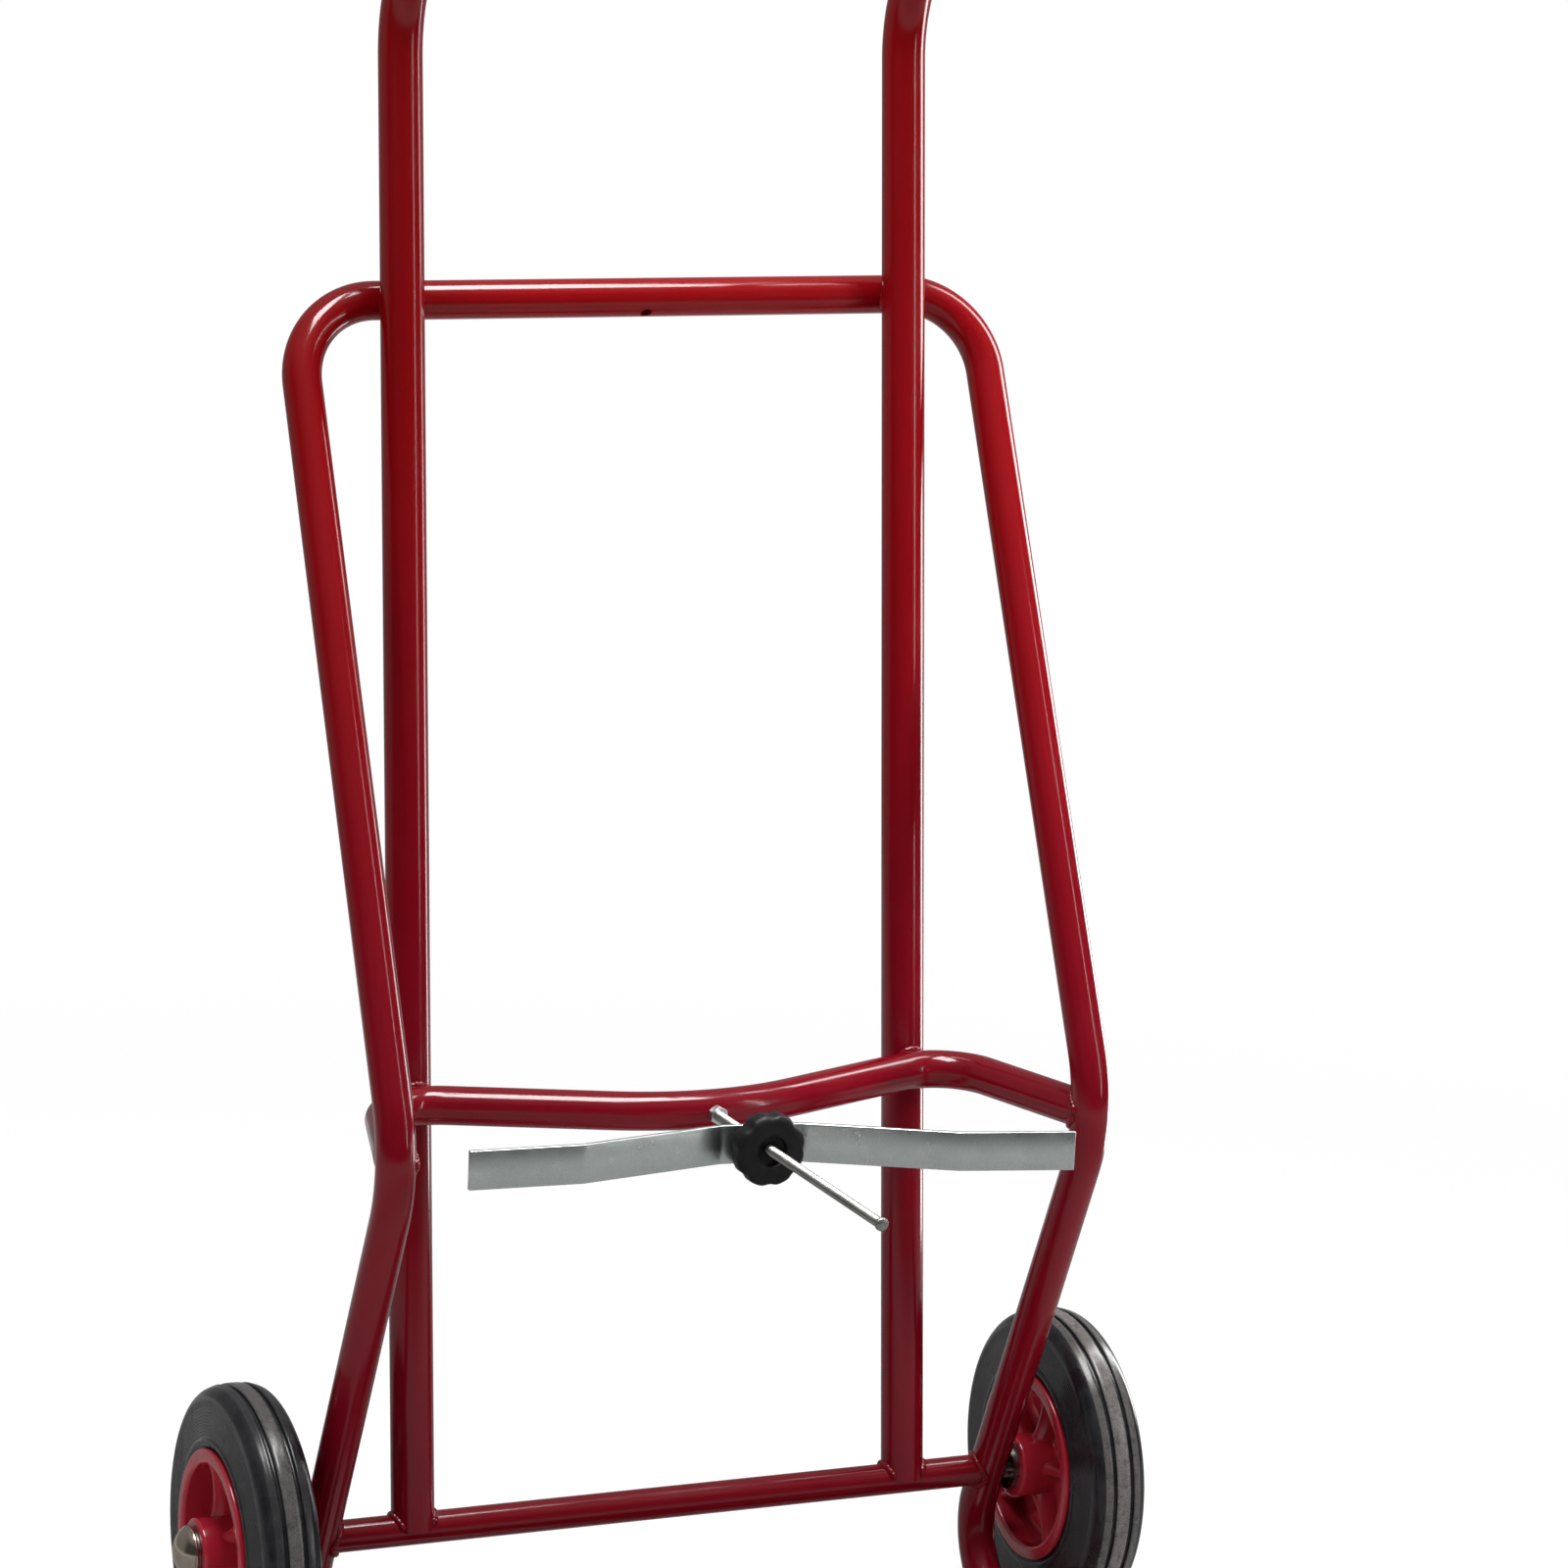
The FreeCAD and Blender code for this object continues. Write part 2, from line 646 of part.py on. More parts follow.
def saddle_path(body):
    """Wave-shaped centre line: end run, lobe, cusp, lobe, end run, all tangent."""
    sketch = new_sketch(body, "XY_Plane", "saddle_path")
    lobe_r = size["saddle_lobe_radius"]
    cusp_r = size["saddle_cusp_radius"]
    cusp = V(0, cusp_y + cusp_r, 0)
    ends = [V(sign * side_x, saddle_end_y, 0) for side, sign in SIDES]
    lobes = [V(sign * handle_x, lobe_y - lobe_r, 0) for side, sign in SIDES]
    outer = [tangent_from(ends[i], lobes[i], lobe_r, -sign) for i, (side, sign) in enumerate(SIDES)]
    # the run between a lobe and the cusp crosses the line of centres
    inner = []
    for i, (side, sign) in enumerate(SIDES):
        share = lobe_r / (lobe_r + cusp_r)
        crossing = lobes[i] + (cusp - lobes[i]) * share
        inner.append(
            (
                tangent_from(crossing, lobes[i], lobe_r, sign),
                tangent_from(crossing, cusp, cusp_r, sign),
            )
        )
    crest = [lobe + V(0, lobe_r, 0) for lobe in lobes]
    pieces = [
        Part.LineSegment(ends[0], outer[0]),
        Part.Arc(outer[0], crest[0], inner[0][0]),
        Part.LineSegment(inner[0][0], inner[0][1]),
        Part.Arc(inner[0][1], V(0, cusp_y, 0), inner[1][1]),
        Part.LineSegment(inner[1][1], inner[1][0]),
        Part.Arc(inner[1][0], crest[1], outer[1]),
        Part.LineSegment(outer[1], ends[1]),
    ]
    items = [sketch.addGeometry(piece, False) for piece in pieces]
    # lobe arcs run clockwise and the cusp arc counter-clockwise along the bar
    starts = [1, 2, 1, 1, 1, 2, 1]
    for i in range(len(items) - 1):
        joint = Sketcher.Constraint("Tangent", items[i], 3 - starts[i], items[i + 1], starts[i + 1])
        sketch.addConstraint(joint)
    set_radius(sketch, items[1], "Sizes.saddle_lobe_radius", lobe_r)
    set_radius(sketch, items[3], "Sizes.saddle_cusp_radius", cusp_r)
    set_radius(sketch, items[5], "Sizes.saddle_lobe_radius", lobe_r)
    pin(sketch, items[0], 1, "-" + HOOP_X, SADDLE_END_Y)
    pin(sketch, items[6], 2, HOOP_X, SADDLE_END_Y)
    pin(sketch, items[1], 3, "-" + HANDLE_X, LOBE_Y + " - Sizes.saddle_lobe_radius")
    pin(sketch, items[5], 3, HANDLE_X, LOBE_Y + " - Sizes.saddle_lobe_radius")
    pin(sketch, items[3], 3, "0", CUSP_Y + " + Sizes.saddle_cusp_radius")
    doc.recompute()
    return sketch


# Saddle bar, coped to the side tubes at both ends and drilled for the stud at its cusp
saddle_body = new_body("saddle_blank")
saddle_line = saddle_path(saddle_body)
saddle_outer = "Sizes.saddle_tube_diameter / 2"
saddle_ring = ring_section(
    saddle_body, saddle_line, "saddle_section", saddle_outer, saddle_outer + " - Sizes.saddle_tube_wall"
)
sweep(saddle_body, saddle_ring, saddle_line)
saddle_z = size["apex_height"]
place(saddle_body, V(0, 0, saddle_z))


def apex_cope(side, sign):
    """The side tube's bend as a plain solid, a weld gap larger, to cope the saddle bar."""
    body = new_body(side + "_apex_cope")
    apex_radius = (side_radius[0][:1], side_radius[1][:1])
    path = path_sketch(body, "YZ_Plane", side + "_apex_path", side_corners[:3], apex_radius)
    section = section_sketch(body, path, side + "_apex_section")
    circle = section.addGeometry(Part.Circle(V(0, 0, 0), Z_AXIS, hoop_r), False)
    section.addConstraint(Sketcher.Constraint("Coincident", circle, 3, -1, 1))
    set_radius(section, circle, HOOP_R + " + Sizes.weld_gap", hoop_r)
    sweep(body, section, path)
    return place(body, V(sign * side_x, 0, 0))


stud_hole = cylinder(
    "stud_hole",
    "Sizes.stud_diameter / 2 + Sizes.stud_clearance",
    "Sizes.saddle_tube_diameter * 2",
    V(0, cusp_y + size["saddle_tube_diameter"], saddle_z),
    ALONG_MINUS_Y,
)
copes = [apex_cope(side, sign) for side, sign in SIDES]
for side, sign in SIDES:
    # the bar stops at the side tube's middle plane
    beyond = doc.addObject("Part::Box", side + "_saddle_trim")
    bind(
        beyond,
        Length="Sizes.saddle_tube_diameter * 2",
        Width="Sizes.saddle_tube_diameter * 4",
        Height="Sizes.saddle_tube_diameter * 2",
    )
    trim_x = side_x if sign > 0 else -side_x - size["saddle_tube_diameter"] * 2
    trim_y = saddle_end_y - size["saddle_tube_diameter"] * 2
    copes.append(place(beyond, V(trim_x, trim_y, saddle_z - size["saddle_tube_diameter"])))
keep(cut("saddle_bar", saddle_body, *copes, stud_hole), "saddle_bar")

# Clamp stud with its upset tip, held in the saddle bar by a nut on each side
stud_r = "Sizes.stud_diameter / 2"
stud_back = "(%s + Sizes.nut_gap + Sizes.nut_height + Sizes.stud_tail)" % saddle_outer
stud = turned(
    "stud_body",
    [
        ("-" + stud_back, "0"),
        ("-" + stud_back, stud_r),
        ("Sizes.stud_reach - Sizes.stud_tip_length", stud_r),
        ("Sizes.stud_reach - Sizes.stud_tip_length / 2", "Sizes.stud_tip_diameter / 2"),
        ("Sizes.stud_reach", "Sizes.stud_tip_diameter / 2"),
        ("Sizes.stud_reach", "0"),
    ],
)
FACING_FRONT = FreeCAD.Rotation(Z_AXIS, -90)
place(stud, V(0, cusp_y, saddle_z), FACING_FRONT)
keep(stud, "clamp_stud")


def hex_nut(name, base):
    """A hexagon nut whose axis lies along -Y from its base."""
    blank = doc.addObject("Part::Prism", name + "_blank")
    blank.Polygon = 6
    bind(blank, Circumradius="Sizes.nut_across_flats / sqrt(3)", Height="Sizes.nut_height")
    place(blank, base, ALONG_MINUS_Y)
    bore_r = stud_r + " + Sizes.stud_clearance"
    bore = cylinder(name + "_bore", bore_r, "Sizes.nut_height", base, ALONG_MINUS_Y)
    return cut(name, blank, bore)


nut_reach = saddle_r + size["nut_gap"]
keep(hex_nut("front_nut", V(0, cusp_y - nut_reach, saddle_z)), "stud_front_nut")
keep(hex_nut("rear_nut", V(0, cusp_y + nut_reach + size["nut_height"], saddle_z)), "stud_rear_nut")

# Clamp bar: a flat strip bent like a gull's wing, turned a little to suit two cylinder sizes
bar_body = new_body("clamp_bar_blank")
half_middle = "Sizes.bar_middle_length / 2"
wing_across = "Sizes.bar_wing_length * cos(Sizes.bar_wing_angle)"
wing_out = "Sizes.bar_wing_length * sin(Sizes.bar_wing_angle)"
end_across = "Sizes.bar_end_length * cos(Sizes.bar_end_angle)"
end_out = "Sizes.bar_end_length * sin(Sizes.bar_end_angle)"
right_half = [
    (half_middle, "0"),
    ("(%s + %s)" % (half_middle, wing_across), "-(%s)" % wing_out),
    ("(%s + %s + %s)" % (half_middle, wing_across, end_across), "-(%s + %s)" % (wing_out, end_out)),
]
bar_corners = [("-" + across, out) for across, out in reversed(right_half)] + right_half
bar_radius = (["Sizes.bar_bend_radius"] * 4, [size["bar_bend_radius"]] * 4)
bar_path = path_sketch(bar_body, "XY_Plane", "clamp_bar_path", bar_corners, bar_radius)
bar_section = section_sketch(bar_body, bar_path, "clamp_bar_section")
doc.recompute()
bar_up = bar_section.getGlobalPlacement().Rotation.multVec(V(0, 1, 0))
bar_sizes = ["Sizes.bar_thickness", "Sizes.bar_height"]
if abs(bar_up.z) < abs(bar_up.x) + abs(bar_up.y):
    bar_sizes.reverse()
add_rectangle(
    bar_section,
    ["-%s / 2" % word for word in bar_sizes],
    ["%s / 2" % word for word in bar_sizes],
)
sweep(bar_body, bar_section, bar_path)
bar_turn = FreeCAD.Rotation(Z_AXIS, -size["bar_yaw"])
place(bar_body, V(0, bar_y, saddle_z), bar_turn)
bar_hole = cylinder(
    "bar_hole",
    "Sizes.bar_hole_diameter / 2",
    "Sizes.bar_height",
    V(0, bar_y + size["bar_height"] / 2, saddle_z),
    ALONG_MINUS_Y,
)
keep(cut("clamp_bar", bar_body, bar_hole), "clamp_bar")

# Washer and knob in front of the bar: the washer's rim bears on the turned bar
yaw = math.radians(size["bar_yaw"])
washer_back = (
    bar_y
    - size["bar_thickness"] / 2 / math.cos(yaw)
    - size["clamp_washer_diameter"] / 2 * math.tan(yaw)
    - size["clamp_gap"]
)
washer_bore = "(%s + Sizes.stud_clearance * 3)" % stud_r
washer = turned(
    "clamp_washer_body",
    [
        ("0", washer_bore),
        ("Sizes.clamp_washer_thickness", washer_bore),
        ("Sizes.clamp_washer_thickness", "Sizes.clamp_washer_diameter / 2"),
        ("0", "Sizes.clamp_washer_diameter / 2"),
    ],
)
place(washer, V(0, washer_back, saddle_z), FACING_FRONT)
keep(washer, "clamp_washer")

knob_back = washer_back - size["clamp_washer_thickness"] - size["clamp_gap"]
insert_r = "Sizes.insert_diameter / 2"
knob_r = "Sizes.knob_diameter / 2"
recess_x = "(Sizes.knob_thickness - Sizes.knob_recess_depth)"
knob = turned(
    "knob_body",
    [
        ("0", insert_r + " + Sizes.bush_clearance"),
        *rounded_corner("0", knob_r, "Sizes.knob_edge_radius", "+"),
        *reversed(rounded_corner("Sizes.knob_thickness", knob_r, "Sizes.knob_edge_radius", "-")),
        ("Sizes.knob_thickness", "Sizes.knob_recess_diameter / 2"),
        (recess_x, "Sizes.knob_recess_diameter / 2"),
        (recess_x, insert_r + " + Sizes.bush_clearance"),
    ],
)
scallop = new_sketch(knob, "YZ_Plane", "knob_scallop")
notch = scallop.addGeometry(Part.Circle(V(1, 0, 0), Z_AXIS, 1.0), False)
set_radius(scallop, notch, "Sizes.knob_scallop_radius", size["knob_scallop_radius"])
pin(scallop, notch, 3, knob_r + " + Sizes.knob_scallop_radius - Sizes.knob_scallop_depth", "0")
doc.recompute()
notches = knob.newObject("PartDesign::Pocket", "knob_notch")
notches.Profile = scallop
notches.Type = "ThroughAll"
notches.Midplane = True
doc.recompute()
ring = knob.newObject("PartDesign::PolarPattern", "knob_lobes")
ring.Originals = [notches]
ring.Axis = (scallop, ["N_Axis"])
ring.Angle = 360
bind(ring, Occurrences="Sizes.knob_lobe_count")
knob.Tip = ring
doc.recompute()
place(knob, V(0, knob_back, saddle_z), FACING_FRONT)
keep(knob, "clamp_knob")

insert = turned(
    "insert_body",
    [
        ("0", stud_r + " + Sizes.stud_clearance"),
        ("0", insert_r),
        (recess_x, insert_r),
        (recess_x, stud_r + " + Sizes.stud_clearance"),
    ],
)
place(insert, V(0, knob_back, saddle_z), FACING_FRONT)
keep(insert, "knob_insert")

# Wheels: rim with five spokes, solid rubber tyre, bush, washers and a domed cap each
hub_r = "Sizes.hub_diameter / 2"
hub_bore = "(Sizes.axle_diameter / 2 + Sizes.axle_clearance + Sizes.bush_wall + Sizes.bush_clearance)"
flange_r = "(Sizes.wheel_diameter * Sizes.rim_flange_share / 2)"
seat_r = "(Sizes.wheel_diameter * Sizes.rim_seat_share / 2)"
barrel_r = "(%s - Sizes.rim_wall)" % seat_r
barrel_radius = size["wheel_diameter"] * size["rim_seat_share"] / 2 - size["rim_wall"]
half_hub = "Sizes.hub_length / 2"
half_rim = "Sizes.rim_width / 2"
half_web = "Sizes.web_thickness / 2"
half_seat = "(%s - Sizes.rim_lip_width)" % half_rim
rim_right = [
    (half_hub, hub_bore),
    *rounded_corner(half_hub, hub_r, "Sizes.rim_edge_round", "-"),
    (half_web, hub_r),
    (half_web, barrel_r),
    (half_rim, barrel_r),
    *rounded_corner(half_rim, flange_r, "Sizes.rim_edge_round", "-"),
    (half_seat, flange_r),
    (half_seat, seat_r),
]
rim_outline = rim_right + mirrored(rim_right)
# Tyre: bead, raised ring, flat sidewall, round shoulder, and a tread with two grooves
tread_r = "Sizes.wheel_diameter / 2"
bead_x = "(%s - Sizes.tyre_clearance)" % half_seat
side_half = "Sizes.tyre_side_width / 2"
ring_in = "(%s + Sizes.tyre_ring_gap)" % flange_r
ring_out = "(%s + Sizes.tyre_ring_width)" % ring_in
shoulder_half = "Sizes.tyre_shoulder_width / 2"
shoulder_r = "(%s - Sizes.tyre_shoulder_drop)" % tread_r
tread_half = "Sizes.tyre_tread_width / 2"
tread_edge_r = "(%s - Sizes.tyre_tread_drop)" % tread_r
groove_in = "(Sizes.groove_offset - Sizes.groove_width / 2)"
groove_out = "(Sizes.groove_offset + Sizes.groove_width / 2)"
groove_floor = "(%s - Sizes.groove_depth)" % tread_r
tyre_right = [
    (bead_x, seat_r + " + Sizes.tyre_clearance"),
    (bead_x, flange_r + " + Sizes.tyre_clearance"),
    (side_half, ring_in),
    (side_half, ring_out),
    (side_half + " - Sizes.tyre_ring_rise", ring_out),
    (shoulder_half, shoulder_r),
    (
        "(%s + %s) / 2 + Sizes.tyre_shoulder_bulge" % (shoulder_half, tread_half),
        "(%s + %s) / 2 + Sizes.tyre_shoulder_bulge" % (shoulder_r, tread_edge_r),
        "arc",
    ),
    (tread_half, tread_edge_r),
    (groove_out, tread_r),
    (groove_out, groove_floor),
    (groove_in, groove_floor),
    (groove_in, tread_r),
]
tyre_outline = tyre_right + mirrored(tyre_right)
bush_bore = "Sizes.axle_diameter / 2 + Sizes.axle_clearance"
spacer_length = "(Sizes.wheel_side_gap - 2 * Sizes.wheel_play)"
# Cap: a short band and a dome that is part of a ball
cap_seat = "Sizes.washer_thickness"
cap_r = "(Sizes.cap_diameter / 2)"
cap_top = "(%s + Sizes.cap_height)" % cap_seat
cap_dome = "(Sizes.cap_height - Sizes.cap_band)"
cap_ball = "((%s ^ 2 + %s ^ 2) / (2 * %s))" % (cap_r, cap_dome, cap_dome)
cap_half_turn = "asin(%s / %s) / 2" % (cap_r, cap_ball)
cap_room = cap_seat + " + Sizes.axle_end_in_cap + Sizes.weld_gap"
cap_outline = [
    (cap_seat, bush_bore),
    (cap_seat, cap_r),
    (cap_seat + " + Sizes.cap_band", cap_r),
    (
        "%s - %s * (1 - cos(%s))" % (cap_top, cap_ball, cap_half_turn),
        "%s * sin(%s)" % (cap_ball, cap_half_turn),
        "arc",
    ),
    (cap_top, "0"),
    (cap_room, "0"),
    (cap_room, bush_bore),
]


def rim_windows(body, name):
    """Rounded three-sided windows through the web, between the spokes."""
    window = new_sketch(body, "YZ_Plane", name + "_window")
    outer = "(%s - Sizes.window_outer_gap)" % barrel_r
    half_angle = "Sizes.window_side_angle / 2"
    points = [
        ("%s * Sizes.window_inner_share" % barrel_r, "0"),
        (outer + " * cos(%s)" % half_angle, "-(%s * sin(%s))" % (outer, half_angle)),
        (outer + " * cos(%s)" % half_angle, outer + " * sin(%s)" % half_angle),
    ]
    for across, up in points:
        pin(window, window.addGeometry(Part.Point(V(0, 0, 0)), True), 1, across, up)
    doc.recompute()
    spots = [V(point.X, point.Y, 0) for point in window.Geometry]
    radius = barrel_radius * size["window_corner_share"]
    rounds = [corner_arc(spots[i - 1], spots[i], spots[(i + 1) % 3], radius) for i in range(3)]
    arcs = [window.addGeometry(Part.Arc(*bend), False) for bend in rounds]
    for i in range(3):
        after = (i + 1) % 3
        run = window.addGeometry(Part.LineSegment(rounds[i][2], rounds[after][0]), False)
        for arc, vertex, spot in ((arcs[i], 1, rounds[i][2]), (arcs[after], 2, rounds[after][0])):
            near = 1 if window.getPoint(arc, 1).distanceToPoint(spot) < size["weld_gap"] else 2
            window.addConstraint(Sketcher.Constraint("Tangent", run, vertex, arc, near))
        window.addConstraint(Sketcher.Constraint("PointOnObject", i, 1, run))
        window.addConstraint(Sketcher.Constraint("PointOnObject", after, 1, run))
        set_radius(window, arcs[i], "%s * Sizes.window_corner_share" % barrel_r, radius)
    doc.recompute()
    pocket = body.newObject("PartDesign::Pocket", name + "_window_cut")
    pocket.Profile = window
    pocket.Type = "ThroughAll"
    pocket.Midplane = True
    doc.recompute()
    spokes = body.newObject("PartDesign::PolarPattern", name + "_windows")
    spokes.Originals = [pocket]
    spokes.Axis = (window, ["N_Axis"])
    spokes.Angle = 360
    bind(spokes, Occurrences="Sizes.spoke_count")
    body.Tip = spokes
    doc.recompute()


def spoke_ribs(body, name):
    """A round-backed rib along each spoke, on both faces of the web, from the hub into the barrel."""
    rib_top = "(%s + Sizes.spoke_rib_radius)" % half_web
    crest = [
        (half_web, "-Sizes.spoke_rib_radius"),
        (rib_top, "0", "arc"),
        (half_web, "Sizes.spoke_rib_radius"),
    ]
    rib = outline_sketch(body, "XZ_Plane", name + "_rib", crest + mirrored(crest))
    rib_start = "(%s - Sizes.bush_wall)" % hub_r
    rib.setExpression("AttachmentOffset.Base.z", rib_start)
    doc.recompute()
    pad = body.newObject("PartDesign::Pad", name + "_rib_pad")
    pad.Profile = rib
    bind(pad, Length="%s + Sizes.rim_wall / 2 - %s" % (barrel_r, rib_start))
    doc.recompute()
    ribs = body.newObject("PartDesign::PolarPattern", name + "_ribs")
    ribs.Originals = [pad]
    x_line = next(f for f in body.Origin.OriginFeatures if f.Role == "X_Axis")
    ribs.Axis = (x_line, [""])
    ribs.Angle = 360
    bind(ribs, Occurrences="Sizes.spoke_count")
    body.Tip = ribs
    doc.recompute()


for side, sign in SIDES:
    centre = V(sign * wheel_x, axle_y, axle_z)
    outward = FreeCAD.Rotation() if sign > 0 else FLIPPED
    rim = turned(side + "_rim_body", rim_outline)
    rim_windows(rim, side + "_rim")
    spoke_ribs(rim, side + "_rim")
    place(rim, centre, FreeCAD.Rotation(X_AXIS, size["spoke_turn"]).multiply(outward))
    keep(rim, side + "_wheel_rim")
    tyre = turned(side + "_tyre_body", tyre_outline)
    keep(place(tyre, centre, outward), side + "_tyre")
    bush = turned(
        side + "_bush_body",
        [
            ("-" + half_hub, bush_bore),
            (half_hub, bush_bore),
            (half_hub, hub_bore + " - Sizes.bush_clearance"),
            ("-" + half_hub, hub_bore + " - Sizes.bush_clearance"),
        ],
    )
    keep(place(bush, centre, outward), side + "_hub_bush")
    spacer = turned(
        side + "_spacer_body",
        [
            ("-Sizes.wheel_play - " + spacer_length, bush_bore),
            ("-Sizes.wheel_play", bush_bore),
            ("-Sizes.wheel_play", "Sizes.washer_diameter / 2"),
            ("-Sizes.wheel_play - " + spacer_length, "Sizes.washer_diameter / 2"),
        ],
    )
    inner_end = V(sign * (wheel_x - half_hub_length), axle_y, axle_z)
    keep(place(spacer, inner_end, outward), side + "_axle_spacer")
    outer_end = V(sign * outer_seat_x, axle_y, axle_z)
    washer_ring = turned(
        side + "_washer_body",
        [
            ("0", bush_bore),
            ("Sizes.washer_thickness", bush_bore),
            ("Sizes.washer_thickness", "Sizes.washer_diameter / 2"),
            ("0", "Sizes.washer_diameter / 2"),
        ],
    )
    keep(place(washer_ring, outer_end, outward), side + "_axle_washer")
    cap = turned(side + "_cap_body", cap_outline)
    keep(place(cap, outer_end, outward), side + "_hub_cap")

doc.recompute()

# Every object and every sub-part is sound before anything is written
for item in doc.Objects:
    if "Invalid" in item.State or "Error" in item.State:
        raise RuntimeError("failed object: " + item.Label)
for item in nodes:
    if item.Shape.isNull() or not item.Shape.isValid() or not item.Shape.Solids:
        raise RuntimeError("bad shape: " + item.Label)
os.makedirs("parts", exist_ok=True)
for item in nodes:
    item.Shape.exportStep("parts/%s.step" % item.Label)
    box = item.Shape.BoundBox
    print(
        "%-20s solids %d volume %9.0f  x %7.1f %7.1f  y %7.1f %7.1f  z %7.1f %7.1f"
        % (
            item.Label,
            len(item.Shape.Solids),
            item.Shape.Volume,
            box.XMin,
            box.XMax,
            box.YMin,
            box.YMax,
            box.ZMin,
            box.ZMax,
        )
    )
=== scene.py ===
import json
import math

import bmesh
import bpy
import numpy as np
from mathutils import Matrix, Vector

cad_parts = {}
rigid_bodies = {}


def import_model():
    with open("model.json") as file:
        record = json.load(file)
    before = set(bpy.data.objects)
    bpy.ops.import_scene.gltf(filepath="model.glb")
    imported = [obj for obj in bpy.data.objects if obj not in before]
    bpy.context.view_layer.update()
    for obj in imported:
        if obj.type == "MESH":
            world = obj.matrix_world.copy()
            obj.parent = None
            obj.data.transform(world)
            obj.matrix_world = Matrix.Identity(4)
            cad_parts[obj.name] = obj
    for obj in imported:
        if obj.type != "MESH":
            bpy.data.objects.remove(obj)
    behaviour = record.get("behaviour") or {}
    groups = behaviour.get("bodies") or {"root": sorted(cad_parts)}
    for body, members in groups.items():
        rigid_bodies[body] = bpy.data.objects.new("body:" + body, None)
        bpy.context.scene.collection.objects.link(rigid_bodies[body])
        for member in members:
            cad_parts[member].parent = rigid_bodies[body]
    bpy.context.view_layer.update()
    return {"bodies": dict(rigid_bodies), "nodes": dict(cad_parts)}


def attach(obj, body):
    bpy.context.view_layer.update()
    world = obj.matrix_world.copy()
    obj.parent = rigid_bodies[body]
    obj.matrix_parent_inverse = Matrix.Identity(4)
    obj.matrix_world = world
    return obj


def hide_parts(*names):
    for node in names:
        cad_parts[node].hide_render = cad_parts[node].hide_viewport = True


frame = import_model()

# Cylinder hand truck. Sizes are in millimetres in the frame's own axes, and become metres in new_object().
# Profiles are lists of (along, radius). The camera, the floor and the lamps are in metres.
MM = 0.001
FULL_TURN = 2 * math.pi
QUARTER_TURN = math.pi / 2
X_WAY = np.array([1.0, 0.0, 0.0])
Y_WAY = np.array([0.0, 1.0, 0.0])
Z_WAY = np.array([0.0, 0.0, 1.0])
# a direction that no tube follows
ODD_WAY = (0.31, 0.57, 0.76)
SIDES = (("left", -1), ("right", 1))
SEED = 5
scene = bpy.context.scene
chance = np.random.RandomState(SEED)

# Sizes shared with the CAD source
AXLE_Y = 120.0
AXLE_Z = 125.0
CROSS_R = 12.5
WELD_GAP = 0.1

HOOP_X = 285.0
HOOP_R = 15.0
HOOP_TOP_Z = 1060.0
HOOP_FOOT_Y = 169.0
APEX_Y = -33.0
APEX_Z = 462.0
FOOT_BEND = 60.0
APEX_BEND = 110.0
TOP_BEND = 65.0
RAIL_Z = 19.1
RAIL_END_Y = -71.0
HANG_HOLE_R = 4.5
HANG_HOLE_DEEP = 25.0
HANG_HOLE_TILT = math.radians(48.0)

HANDLE_X = 208.5
HANDLE_R = 16.85
HANDLE_BEND = 100.0
# (y, z) of a handle tube's corner and end
HANDLE_CORNER = (256.0, 1335.0)
HANDLE_END = (51.0, 1380.0)
HANDLE_SLOPE = (HANDLE_CORNER[0] - AXLE_Y) / (HANDLE_CORNER[1] - AXLE_Z)

SADDLE_R = 15.0
SADDLE_END_Y = -21.43
LOBE_ROUND = 45.0
CUSP_ROUND = 200.0
CUSP_Y = 62.0

PLATE_BACK_Y = 95.0
PLATE_FRONT_Y = -93.0
PLATE_Z = 2.0
PLATE_LIP_Z = 26.0
PLATE_BEND = 8.0
PLATE_HALF_WIDE = 300.0
PLATE_HALF_THICK = 2.0

BAR_Y = -36.0
BAR_YAW = math.radians(-8.5)
BAR_HALF_HIGH = 15.0
BAR_HALF_THICK = 2.0
BAR_BEND = 14.0
BAR_HOLE_R = 5.5
BAR_HALF_MIDDLE = 31.0
# length and angle of the bar's wing and end, before it is yawed
BAR_RUNS = ((121.0, math.radians(18.7)), (88.0, math.radians(5.0)))
STUD_BACK_Y = 87.8
STUD_TIP_Y = -256.0
FRONT_NUT_Y = 46.7
REAR_NUT_Y = 83.8
KNOB_Y = -42.015

WHEEL_X = 345.0
HUB_HALF = 40.0
HUB_R = 25.5
HUB_BORE = 13.6
RIM_HALF = 28.5
SEAT_HALF = 24.0
FLANGE_R = 77.0
SEAT_R = 71.0
BARREL_R = 66.0
WEB_HALF = 6.0
SPOKES = 5
WINDOW_IN = 33.0
WINDOW_OUT = 62.0
WINDOW_ANGLE = math.radians(31.0)
WINDOW_ROUND = 4.95
HUB_GAP = 0.3
WASHER_THICK = 2.0

# How many sides round things have
TUBE_SIDES = 48
CROSS_SIDES = 40
DRILL_SIDES = 40
BEAD_SIDES = 10
GRIP_SIDES = 72
PLUG_SIDES = 64
CORE_SIDES = 24
TIP_SIDES = 40
NUT_SIDES = 96
KNOB_SIDES = 288
BARREL_SIDES = 144
HUB_SIDES = 96
WEB_SIDES = 120
WEB_HOLE_SIDES = 72
SPOKE_SIDES = 32
TYRE_SIDES = 160
CAP_SIDES = 80


def handle_y(height):
    """Where the middle line of a handle tube lies at this height."""
    return AXLE_Y + (height - AXLE_Z) * HANDLE_SLOPE


